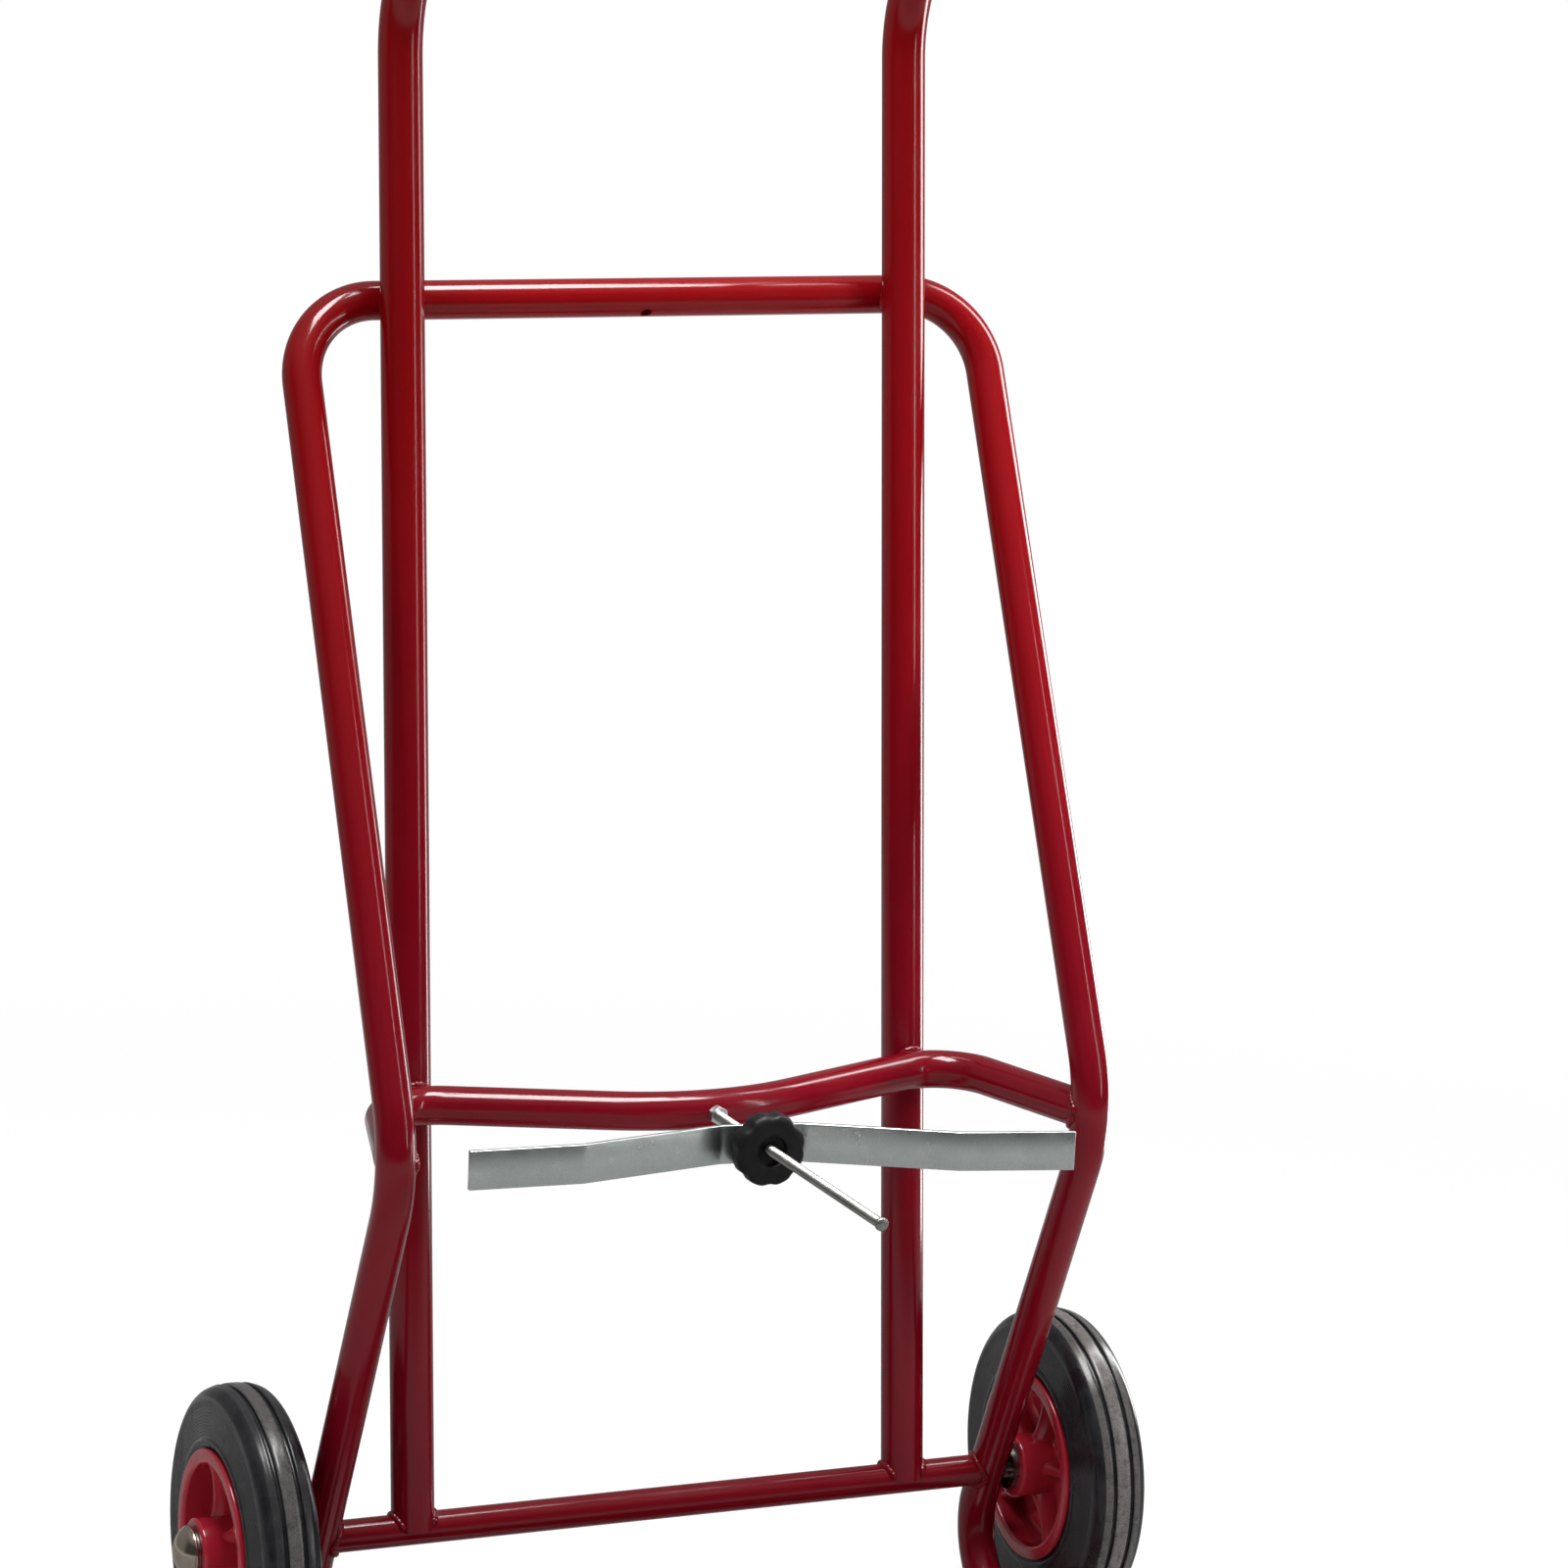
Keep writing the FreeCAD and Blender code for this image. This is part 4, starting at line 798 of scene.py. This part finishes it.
def end_welds(line, radius, sign):
    """Beads where one end of a tube meets the hoop, on the hoop's inner side."""
    run = line[:BAR_STEPS][::-1] if sign < 0 else line[-BAR_STEPS:]
    loops, closed = seam(run, radius, hoop_fine, HOOP_R)
    beads = []
    for loop in loops:
        near_side = np.abs(loop[:, 0]) < HOOP_X - SEAM_INSIDE
        if closed and not near_side.all():
            first = next(i for i in range(len(loop)) if near_side[i] and not near_side[i - 1])
            loop = np.roll(loop, -first, axis=0)[np.roll(near_side, -first)]
        beads.append(bead(loop, SEAM_R, run[-1] - run[-WAY_STEPS], closed and near_side.all()))
    return beads


def post_welds(side):
    """Beads where the foot of a handle tube meets the lower cross tube."""
    post = resampled(handle_lines[side], FINE_STEP)[:POST_STEPS][::-1]
    loops, closed = seam(post, HANDLE_R, cross_fine, CROSS_R)
    return [bead(loop, SEAM_R, POST_UP, closed) for loop in loops]


def crossing_weld(height, sign, way):
    """The bead in the saddle-shaped gap round the spot where a handle tube touches a bar."""
    outward = way * POST_BACK
    middle = np.array([sign * HANDLE_X, handle_y(height), height])
    contact = middle + (HANDLE_R + WELD_GAP / 2) * outward
    loop = []
    for angle in round_angles(CROSSING_COUNT):
        u = CROSSING_REACH * math.cos(angle)
        v = CROSSING_REACH * math.sin(angle)
        rise = (v * v / (2 * HOOP_R) - u * u / (2 * HANDLE_R)) / 2
        loop.append(contact + u * X_WAY + v * POST_UP + rise * outward)
    return bead(np.array(loop), CROSSING_R, outward)


def rail_welds(sign):
    """Short stitches along both edges of a rail, on the base plate."""
    beads = []
    for edge in (-1, 1):
        x = sign * HOOP_X + edge * STITCH_OUT
        for y in STITCH_PLACES:
            stitch = [(x, y + t, STITCH_Z) for t in np.linspace(-STITCH_HALF, STITCH_HALF, 9)]
            beads.append(bead(np.array(stitch), STITCH_R, Z_WAY, False))
    return beads


frame_welds = []
foot_welds = []
for side, sign in SIDES:
    frame_welds += end_welds(saddle_fine, SADDLE_R, sign)
    frame_welds += end_welds(cross_fine, CROSS_R, sign)
    foot_welds += post_welds(side)
    frame_welds += [crossing_weld(HOOP_TOP_Z, sign, 1), crossing_weld(APEX_Z, sign, -1)]
    foot_welds += rail_welds(sign)
for name, beads in (("tube_welds", frame_welds), ("foot_welds", foot_welds)):
    piece(name, merge(*beads), "frame_red", body="frame", sharp=80)

# Base plate
plate_side = [(PLATE_BACK_Y, PLATE_Z), (PLATE_FRONT_Y, PLATE_Z), (PLATE_FRONT_Y, PLATE_LIP_Z)]
plate_line = rounded([(0.0, y, z) for y, z in plate_side], [PLATE_BEND], 1.0)
plate = sweep(plate_line, flat_section(PLATE_HALF_WIDE, PLATE_HALF_THICK), X_WAY)
piece("foot_plate", plate, "frame_red", ("base_plate",), bevel=0.8)

# Hand grips and rail plugs
GRIP_R = 20.95
GRIP_LONG = 112.0
GRIP_BORE = 16.95
GRIP_GROOVE_R = 20.1
GRIP_ROUND = 5.0
RIB_MARGIN = 12.0
RIB_PITCH = 5.0
GRIP_FLANGE = [(0.0, 24.2), (0.7, 24.9), (3.2, 24.9), (4.2, 24.2), (5.2, 21.6), (7.0, GRIP_R)]
GRIP_RIB = [(0.0, GRIP_R), (2.6, GRIP_R), (3.1, GRIP_GROOVE_R), (4.5, GRIP_GROOVE_R)]
PLUG_R = 15.0
PLUG_ROUND = 2.2


def grip_profile():
    """A ribbed hand grip, from the flange at its open end to its rounded end."""
    profile = [(-GRIP_LONG, GRIP_BORE)]
    profile += [(-GRIP_LONG + along, radius) for along, radius in GRIP_FLANGE]
    for start in np.arange(-GRIP_LONG + RIB_MARGIN, -RIB_MARGIN, RIB_PITCH):
        profile += [(start + along, radius) for along, radius in GRIP_RIB]
    profile += [(-6.0, GRIP_R), (-1.0, GRIP_R)]
    profile += round_over(-1.0, GRIP_R - GRIP_ROUND, GRIP_ROUND, 0.2, 8)
    return profile + [(4.0, 6.0), (3.6, 5.0), (3.6, 0.0)]


def plug_profile():
    """A round plug's head, with a dish in its face."""
    profile = [(0.0, 12.9), (0.0, 14.6), (0.4, PLUG_R), (1.8, PLUG_R)]
    profile += round_over(1.8, PLUG_R - PLUG_ROUND, PLUG_ROUND, 0.2, 7)
    return profile + [(4.0, 7.0), (3.5, 6.4), (3.5, 0.0)]


grip_way = unit((0.0, *np.subtract(HANDLE_END, HANDLE_CORNER)))
for side, sign in SIDES:
    grip = lathe(grip_profile(), (sign * HANDLE_X, *HANDLE_END), grip_way, GRIP_SIDES)
    piece(side + "_grip", grip, "grip_black", (side + "_handle_grip",))
    plug = lathe(plug_profile(), (sign * HOOP_X, RAIL_END_Y, RAIL_Z), -Y_WAY, PLUG_SIDES)
    piece(side + "_end_plug", plug, "plug_black", (side + "_rail_plug",))

# Screw clamp: bar, threaded stud, nuts and knob, all round the stud's axis at APEX_Z
BAR_HOLE_LONG = 40.0
THREAD_PITCH = 1.25
CREST_R = 3.98
ROOT_R = 3.45
TURN_STEPS = 18
THREAD_LONG = STUD_BACK_Y - STUD_TIP_Y - 6.0
THREAD_START_Y = STUD_BACK_Y - 0.5
THREAD_END_Y = STUD_TIP_Y + 4.0
TIP_LONG = 5.0
STUD_BACK = [(0.0, 0.0), (0.0, 3.2), (0.6, 3.6), (1.4, 3.6)]
STUD_CORE_R = 3.5
STUD_TIP = [
    (-2.0, 3.4), (0.0, 4.0), (0.9, 4.6), (2.0, 5.0), (3.6, 5.0),
    (4.5, 4.5), (4.9, 3.4), (5.0, 1.6), (4.9, 0.0),
]
NUT_HIGH = 6.5
NUT_HALF_FLATS = 6.5
NUT_BORE = 4.05
NUT_FACE_RADII = (NUT_BORE, NUT_BORE + 0.5, NUT_HALF_FLATS - 0.25)
# the chamfer: its radius at the nut's face, how fast it widens, and the depths at which it is cut
CHAMFER_R = NUT_HALF_FLATS - 0.1
CHAMFER_SLOPE = 1.73
CHAMFER_DEPTHS = (0.0, 0.15, 0.35, 0.6, 0.9, 1.3)
KNOB_R = 28.0
KNOB_LOBES = 8
KNOB_THICK = 19.0
KNOB_ROUND = 6.0
SCALLOP_R = 11.0
SCALLOP_OUT = 37.3
SMOOTHINGS = 10
# the scallops fade out towards this radius
PLAIN_R = 15.0
SCALLOP_FADE = 2.5
KNOB_BACK = [(0.0, 7.1), (0.0, 14.0), (0.0, 21.5)]
KNOB_FACE = [
    (KNOB_THICK, 18.0), (18.9, 14.0), (18.7, 12.8), (18.2, 12.0),
    (17.2, 11.6), (12.2, 11.4), (12.0, 11.0), (12.0, 7.1),
]


def round_stud(radius, angles, y):
    """Points round the stud's axis."""
    places = np.broadcast_to(y, angles.shape)
    return np.column_stack([radius * np.cos(angles), places, APEX_Z + radius * np.sin(angles)])


def bar_geometry():
    right_half = [(BAR_HALF_MIDDLE, 0.0)]
    for length, angle in BAR_RUNS:
        x, y = right_half[-1]
        right_half.append((x + length * math.cos(angle), y - length * math.sin(angle)))
    line = []
    for x, y in [(-x, y) for x, y in reversed(right_half)] + right_half:
        yawed_x = x * math.cos(BAR_YAW) - y * math.sin(BAR_YAW)
        yawed_y = BAR_Y + x * math.sin(BAR_YAW) + y * math.cos(BAR_YAW)
        line.append((yawed_x, yawed_y, APEX_Z))
    bends = [BAR_BEND] * (len(line) - 2)
    return sweep(rounded(line, bends, 1.0), flat_section(BAR_HALF_HIGH, BAR_HALF_THICK), Z_WAY)


def stud_geometry():
    """A crest line and a root line that wind along a plain core, and a rounded tip."""
    steps = np.arange(int(THREAD_LONG / THREAD_PITCH * TURN_STEPS))
    angles = FULL_TURN * steps / TURN_STEPS
    lines = []
    for radius, lag in ((CREST_R, 0.0), (ROOT_R, THREAD_PITCH / 2)):
        along = THREAD_START_Y - THREAD_PITCH * steps / TURN_STEPS - lag
        lines.append(round_stud(radius, angles, np.clip(along, THREAD_END_Y, STUD_BACK_Y)))
    last = len(steps)
    faces = [(i, i + 1, last + i + 1, last + i) for i in range(last - 1)]
    for i in range(last - TURN_STEPS - 1):
        faces.append((last + i, last + i + 1, i + TURN_STEPS + 1, i + TURN_STEPS))
    core_profile = STUD_BACK + [(THREAD_LONG, STUD_CORE_R)]
    core = lathe(core_profile, (0.0, STUD_BACK_Y, APEX_Z), -Y_WAY, CORE_SIDES)
    tip = lathe(STUD_TIP, (0.0, STUD_TIP_Y + TIP_LONG, APEX_Z), -Y_WAY, TIP_SIDES)
    return merge((np.concatenate(lines), faces), core, tip)


def hex_nut(start_y):
    """A hexagon nut with chamfered corners, from start_y towards -Y."""
    angles = round_angles(NUT_SIDES)
    sixth = FULL_TURN / 6
    six_sided = NUT_HALF_FLATS / np.cos((angles + sixth / 2) % sixth - sixth / 2)
    rows = [(0.0, radius) for radius in NUT_FACE_RADII]
    for depth in CHAMFER_DEPTHS:
        rows.append((depth, np.minimum(six_sided, CHAMFER_R + depth * CHAMFER_SLOPE)))
    rows += [(NUT_HIGH - depth, radius) for depth, radius in reversed(rows)]
    points = [round_stud(radius, angles, start_y - depth) for depth, radius in rows]
    return np.concatenate(points), grid_faces(len(rows), NUT_SIDES, True)


def scalloped_rim(angles):
    """The knob's outer radius at each angle, with its edges softened."""
    period = FULL_TURN / KNOB_LOBES
    local = (angles + period / 2) % period - period / 2
    inside = SCALLOP_R ** 2 - (SCALLOP_OUT * np.sin(local)) ** 2
    hollow = SCALLOP_OUT * np.cos(local) - np.sqrt(np.clip(inside, 0, None))
    rim = np.minimum(np.where(inside > 0, hollow, KNOB_R), KNOB_R)
    for _ in range(SMOOTHINGS):
        rim = (np.roll(rim, 1) + 2 * rim + np.roll(rim, -1)) / 4
    return rim


def knob_geometry():
    """A turned profile whose rim is scalloped."""
    angles = round_angles(KNOB_SIDES)
    rim = scalloped_rim(angles)
    round_r = KNOB_R - KNOB_ROUND
    profile = list(KNOB_BACK)
    for a in np.linspace(0.15, QUARTER_TURN, 9):
        profile.append((KNOB_ROUND - KNOB_ROUND * math.cos(a), round_r + KNOB_ROUND * math.sin(a)))
    profile.append((KNOB_THICK / 2, KNOB_R))
    profile += round_over(KNOB_THICK - KNOB_ROUND, round_r, KNOB_ROUND, 0.0, 10) + KNOB_FACE
    rows = []
    for along, radius in profile:
        share = np.clip((radius - PLAIN_R) / (KNOB_R - PLAIN_R), 0, 1) ** SCALLOP_FADE
        rows.append(round_stud(radius - (KNOB_R - rim) * share, angles, KNOB_Y - along))
    return np.concatenate(rows), grid_faces(len(rows), KNOB_SIDES, True)


bar_hole = ((0.0, BAR_Y + BAR_HOLE_LONG / 2, APEX_Z), -Y_WAY, BAR_HOLE_R, BAR_HOLE_LONG)
piece("pressure_bar", bar_geometry(), "zinc", ("clamp_bar",), bevel=0.7, hole=bar_hole)
# the stud's slot is zinc, and its look a darker copy of it: painted shade
piece("threaded_stud", stud_geometry(), "stud_zinc", ("clamp_stud",), slot="zinc", sharp=75)
for name, nut_y in (("front_nut", FRONT_NUT_Y), ("rear_nut", REAR_NUT_Y)):
    piece(name, hex_nut(nut_y), "zinc", ("stud_" + name,), sharp=28)
piece("hand_knob", knob_geometry(), "knob_black", ("clamp_knob",), sharp=50)

# Wheels
FLANGE_ROUNDS = [3.0, 1.8, 0.8, 0]
HUB_ROUNDS = [0.6, 2.6, 2.6, 0.6]
WEB_EDGE = 2.0
WEB_HOLE_R = HUB_R - 1.5
WINDOW_STEP = 0.8
# the fillet between hub and web starts under the hub's skin, and is closed by two points inside
FILLET = 7.0
FILLET_R = HUB_R - 0.2
FILLET_BACK = [(WEB_HALF - 1.5, HUB_R + 6.5), (WEB_HALF - 1.5, HUB_R - 1.0)]
# parts of the rim run this far into each other
OVERLAP = 1.0
# a spoke's rib: its reach along the axle, its width as a share of that, its lean and its flare
SPOKE_HIGH = 15.5
SPOKE_FLAT = 0.42
SPOKE_LEAN = 2.0
SPOKE_FLARE = 0.25
SPOKE_IN_R = HUB_R - 2.0
SPOKE_STEPS = 18
# half the tread from its middle, the shoulder's three points, and the bead at the rim
TREAD = [
    (0.0, 125.0), (3.2, 124.95), (4.8, 124.75), (5.5, 124.3), (5.8, 123.2), (6.0, 121.9), (6.4, 121.5),
    (8.5, 121.5), (8.9, 121.9), (9.1, 123.0), (9.4, 124.0), (10.0, 124.4), (11.4, 124.0),
]
SHOULDER = ((13.0, 123.4), (20.35, 118.8), (22.5, 110.0))
SHOULDER_STEP = 0.9
TYRE_BEAD = [
    (25.1, 84.6), (25.6, 84.2), (26.0, 83.4), (26.0, 80.9),
    (25.7, 80.0), (25.0, 78.6), (23.95, 77.3), (23.95, 71.05),
]
# the wall widens towards the bead and has fine rings
WALL_TOP_R = 109.4
WALL_FOOT_R = 85.0
WALL_X = 22.5
WALL_WIDENS = 2.4
WALL_STEP = 0.6
RING_PITCH = 2.4
RING_HIGH = 0.18
# where the ribs of the tread lie
MIDDLE_RIB = 5.6
MIDDLE_RIB_R = 123
OUTER_RIB = (9.3, 15.0)
OUTER_RIB_R = 122.6
CAP_R = 20.5
CAP_HIGH = 14.0
CAP_BAND = 3.0
CAP_FOOT = [(0.0, 10.2), (0.0, 19.6), (0.4, 20.3), (1.0, CAP_R), (2.3, CAP_R), (2.8, 20.2), (3.0, 19.8)]
DOME_START = 3.3
# each wheel's turn in degrees, and how dusty its tread is in the middle and outside
WHEELS = (("left", -1, 65.5, 0.6, 0.12), ("right", 1, 29.5, 1.0, 0.6))


def web_outline(spoke_angle):
    """Closed loops of the spoked web: its outside, its hub hole and its windows."""
    loops = [ring(BARREL_R + OVERLAP, WEB_SIDES), ring(WEB_HOLE_R, WEB_HOLE_SIDES)]
    wide_y = WINDOW_OUT * math.cos(WINDOW_ANGLE / 2)
    wide_z = WINDOW_OUT * math.sin(WINDOW_ANGLE / 2)
    corners = [(WINDOW_IN, 0.0), (wide_y, -wide_z), (wide_y, wide_z)]
    window = rounded_loop(corners, [WINDOW_ROUND] * 3, WINDOW_STEP)
    for i in range(SPOKES):
        angle = spoke_angle + FULL_TURN * (i + 0.5) / SPOKES
        turn = np.array([[math.cos(angle), math.sin(angle)], [-math.sin(angle), math.cos(angle)]])
        loops.append(window @ turn)
    return loops


def web(spoke_angle, centre):
    """The web as a filled outline with rounded edges, standing across the axle."""
    curve = bpy.data.curves.new("web", "CURVE")
    curve.dimensions = "2D"
    curve.fill_mode = "BOTH"
    curve.extrude = (WEB_HALF - WEB_EDGE) * MM
    curve.bevel_depth = WEB_EDGE * MM
    curve.offset = -WEB_EDGE * MM
    curve.bevel_resolution = 3
    for loop in web_outline(spoke_angle):
        spline = curve.splines.new("POLY")
        spline.points.add(len(loop) - 1)
        spline.use_cyclic_u = True
        for point, (y, z) in zip(spline.points, loop):
            point.co = (y * MM, z * MM, 0.0, 1.0)
    holder = add_object("web", curve)
    mesh = built_mesh(holder)
    flat = np.array([v.co for v in mesh.vertices]) / MM
    faces = [tuple(p.vertices) for p in mesh.polygons]
    bpy.data.objects.remove(holder)
    return np.column_stack([flat[:, 2], flat[:, 0], flat[:, 1]]) + centre, faces


def hub_fillet():
    """The hollow round between hub and web on one side."""
    profile = []
    for angle in np.linspace(0, QUARTER_TURN, 8):
        along = WEB_HALF + FILLET * (1 - math.sin(angle))
        profile.append((along, FILLET_R + FILLET * (1 - math.cos(angle))))
    return profile + FILLET_BACK


def spoke_rib(centre, angle, face):
    """A round-backed rib on one face of a spoke, wider at both ends."""
    out = np.array([0.0, math.cos(angle), math.sin(angle)])
    reach = np.linspace(SPOKE_IN_R, BARREL_R + OVERLAP, SPOKE_STEPS)
    share = (reach - reach[0]) / (reach[-1] - reach[0])
    lean = face * (WEB_HALF - OVERLAP - SPOKE_LEAN * share)
    line = centre + np.outer(reach, out) + np.outer(lean, X_WAY)
    flare = 1.0 + SPOKE_FLARE * (np.abs(2 * share - 1) ** 3)
    return sweep(line, ring(SPOKE_HIGH, SPOKE_SIDES, SPOKE_FLAT), X_WAY, scale=flare)


def rim_geometry(centre, spoke_angle):
    """A wheel's rim: barrel with its flanges, hub, spoked web, fillets and ribs."""
    flange = [(RIM_HALF, BARREL_R), (RIM_HALF, FLANGE_R), (SEAT_HALF, FLANGE_R), (SEAT_HALF, SEAT_R)]
    barrel = rounded_loop(flange + mirrored(flange), FLANGE_ROUNDS + FLANGE_ROUNDS[::-1])
    hub = [(HUB_HALF, HUB_BORE), (HUB_HALF, HUB_R)]
    sleeve = rounded_loop(hub + mirrored(hub), HUB_ROUNDS)
    parts = [lathe(barrel, centre, X_WAY, BARREL_SIDES, True)]
    parts.append(lathe(sleeve, centre, X_WAY, HUB_SIDES, True))
    parts.append(web(spoke_angle, centre))
    for face in (-1, 1):
        fillet = [(face * along, radius) for along, radius in hub_fillet()]
        parts.append(lathe(fillet, centre, X_WAY, HUB_SIDES, True))
        for i in range(SPOKES):
            parts.append(spoke_rib(centre, spoke_angle + FULL_TURN * i / SPOKES, face))
    return merge(*parts)


def tyre_profile():
    """The tyre's outline from bead to bead."""
    half = TREAD + [tuple(p) for p in arc_through(*SHOULDER, SHOULDER_STEP)]
    for radius in np.arange(WALL_TOP_R, WALL_FOOT_R, -WALL_STEP):
        down = WALL_TOP_R - radius
        base = WALL_X + down / (WALL_TOP_R - WALL_FOOT_R) * WALL_WIDENS
        half.append((base + RING_HIGH * math.cos(down / RING_PITCH * FULL_TURN), radius))
    half += TYRE_BEAD
    return mirrored(half[1:]) + half


def store_dust(tyre, centre, middle_dust, outer_dust):
    """Stores for the material how dusty the ribs of the tread are."""
    places = np.array([v.co for v in tyre.data.vertices]) / MM - centre
    across = np.abs(places[:, 0])
    radius = np.hypot(places[:, 1], places[:, 2])
    middle_rib = (across < MIDDLE_RIB) & (radius > MIDDLE_RIB_R)
    outer_rib = (across > OUTER_RIB[0]) & (across < OUTER_RIB[1]) & (radius > OUTER_RIB_R)
    dust = np.where(middle_rib, middle_dust, np.where(outer_rib, outer_dust, 0.0))
    layer = tyre.data.attributes.new("dust", "FLOAT", "POINT")
    layer.data.foreach_set("value", dust.astype(np.float32))


def cap_profile():
    """A domed cap, a part of a ball on a narrow band."""
    dome = CAP_HIGH - CAP_BAND
    ball_r = (CAP_R ** 2 + dome ** 2) / (2 * dome)
    profile = list(CAP_FOOT)
    for along in CAP_HIGH - (CAP_HIGH - DOME_START) * np.linspace(1.0, 0.03, 28) ** 2:
        profile.append((along, math.sqrt(ball_r ** 2 - (along - CAP_HIGH + ball_r) ** 2)))
    return profile + [(CAP_HIGH, 0.0)]


for side, sign, spoke_turn, middle_dust, outer_dust in WHEELS:
    centre = np.array([sign * WHEEL_X, AXLE_Y, AXLE_Z])
    rim = rim_geometry(centre, math.radians(spoke_turn))
    piece(side + "_rim", rim, "rim_red", (side + "_wheel_rim",), sharp=38)
    rubber_ring = lathe(tyre_profile(), centre, X_WAY, TYRE_SIDES, True)
    tyre = piece(side + "_tyre_rubber", rubber_ring, "tyre_rubber", (side + "_tyre",), sharp=50)
    store_dust(tyre, centre, middle_dust, outer_dust)
    cap_seat = (sign * (WHEEL_X + HUB_HALF + HUB_GAP + WASHER_THICK), AXLE_Y, AXLE_Z)
    cap = lathe(cap_profile(), cap_seat, sign * X_WAY, CAP_SIDES)
    # the cap's chrome is tinted tan: a painted warm reflection
    piece(side + "_cap", cap, "cap_chrome", (side + "_hub_cap",), sharp=35)

# Camera, at the photograph's place
CAMERA_PLACE = Vector((-1.6971, -3.7898, 1.6303))
CAMERA_YAW = math.radians(24.41)
CAMERA_PITCH = math.radians(12.22)
CAMERA_ROLL = math.radians(-2.6)
FOCUS_PIXELS = 5814.6
IMAGE_PIXELS = 1600.0
SENSOR_WIDTH = 36.0


def build_camera():
    level = math.cos(CAMERA_PITCH)
    ahead = Vector((math.sin(CAMERA_YAW) * level, math.cos(CAMERA_YAW) * level, -math.sin(CAMERA_PITCH)))
    right = Vector((math.cos(CAMERA_YAW), -math.sin(CAMERA_YAW), 0.0))
    down = ahead.cross(right)
    across = math.cos(CAMERA_ROLL) * right + math.sin(CAMERA_ROLL) * down
    below = math.cos(CAMERA_ROLL) * down - math.sin(CAMERA_ROLL) * right
    data = bpy.data.cameras.new("camera")
    data.sensor_width = SENSOR_WIDTH
    data.lens = SENSOR_WIDTH * FOCUS_PIXELS / IMAGE_PIXELS
    camera = add_object("camera", data)
    columns = (across, -below, -ahead, CAMERA_PLACE)
    rows = [[column[k] for column in columns] for k in range(3)]
    camera.matrix_world = Matrix(rows + [[0.0, 0.0, 0.0, 1.0]])
    scene.camera = camera


build_camera()

# Studio: pale floor, white surroundings, soft lamps
SOFT_LIGHT = 0.10
FLOOR_HALF = 60.0
FLOOR_Z = -0.0005
FLOOR_GREY = (0.90, 0.90, 0.90, 1.0)
# name, place, target, width, height, watts
LAMPS = (
    ("overhead", (0.1, -0.2, 3.2), (0.0, 0.1, 0.6), 1.8, 1.0, 150.0),
    ("right_strip", (2.3, -2.2, 1.5), (0.0, 0.0, 0.7), 0.12, 2.4, 15.0),
    ("right_side", (0.78, 0.26, 0.90), (0.28, 0.08, 0.8), 0.16, 1.5, 9.0),
    ("left_key", (-2.9, -1.7, 2.1), (0.0, 0.0, 0.6), 2.0, 2.0, 48.0),
    ("right_fill", (1.5, -1.2, 1.1), (0.42, 0.05, 0.75), 0.5, 0.8, 1.5),
)
FILL_SPREAD = math.radians(28)


def build_world():
    """White for the camera. Mirrors see a grey backdrop, a ceiling and a dim room."""
    world = bpy.data.worlds.new("studio")
    scene.world = world
    world.use_nodes = True
    nodes = Nodes(world.node_tree)
    soft = world.node_tree.nodes["Background"]
    soft.inputs["Color"].default_value = WHITE
    soft.inputs["Strength"].default_value = SOFT_LIGHT
    white = nodes.add("ShaderNodeBackground", {"Color": WHITE})
    way = nodes.coordinates("Generated")
    backdrop = nodes.ramp(way["Y"], -0.10, 0.40, 0.06, 0.24)
    ceiling = nodes.ramp(way["Z"], 0.35, 0.90, 0.0, 0.45)
    in_mirrors = nodes.compute("MAXIMUM", backdrop, ceiling)
    nodes.join(nodes.compute("MAXIMUM", in_mirrors, nodes.camera_ray()), white.inputs["Strength"])
    shaders = soft.outputs["Background"], white.outputs["Background"]
    nodes.mix_shaders(nodes.seen_directly(), *shaders, "World Output")


def build_floor():
    """A pale floor that takes a faint shadow, and is white further away."""
    mesh = bpy.data.meshes.new("floor")
    corners = [(x, y, FLOOR_Z) for x, y in flat_section(FLOOR_HALF, FLOOR_HALF)]
    mesh.from_pydata(corners, [], [(0, 1, 2, 3)])
    floor = add_object("floor", mesh)
    look = Look("floor", Base_Color=FLOOR_GREY, Roughness=0.9)
    mesh.materials.append(look.material)
    spot = look.coordinates("Object")
    squares = [look.compute("POWER", spot[axis], 2.0) for axis in ("X", "Y")]
    away = look.compute("SQRT", look.compute("ADD", *squares), 0.0)
    near = look.ramp(away, 0.9, 1.7, 0.07, 0.50)
    lit = look.compute("MULTIPLY", near, look.ramp(away, 2.4, 3.4, 1.0, 0.07))
    in_mirrors = look.compute("MAXIMUM", lit, look.ramp(spot["Y"], 0.3, 1.6, 0.0, 0.26))
    glow = look.add("ShaderNodeEmission")
    look.join(look.compute("MAXIMUM", in_mirrors, look.camera_ray()), glow.inputs["Strength"])
    glowing = look.compute("MULTIPLY", look.seen_directly(), look.ramp(away, 0.7, 2.6, 0.80, 1.0))
    look.mix_shaders(glowing, look.shader.outputs["BSDF"], glow.outputs["Emission"], "Material Output")
    return floor


def lamp(name, place, target, wide, high, watts):
    """A rectangular lamp that the camera doesn't see."""
    light = bpy.data.lights.new(name, "AREA")
    light.shape = "RECTANGLE"
    light.size = wide
    light.size_y = high
    light.energy = watts
    holder = add_object(name, light)
    holder.location = place
    holder.visible_camera = False
    holder.rotation_euler = (Vector(target) - Vector(place)).to_track_quat("-Z", "Y").to_euler()
    return holder


build_world()
floor = build_floor()
lamps = {values[0]: lamp(*values) for values in LAMPS}
lamps["right_fill"].data.spread = FILL_SPREAD
# these two light the paint without glare
for name in ("left_key", "right_fill"):
    lamps[name].visible_glossy = False

scene.view_settings.view_transform = "Standard"
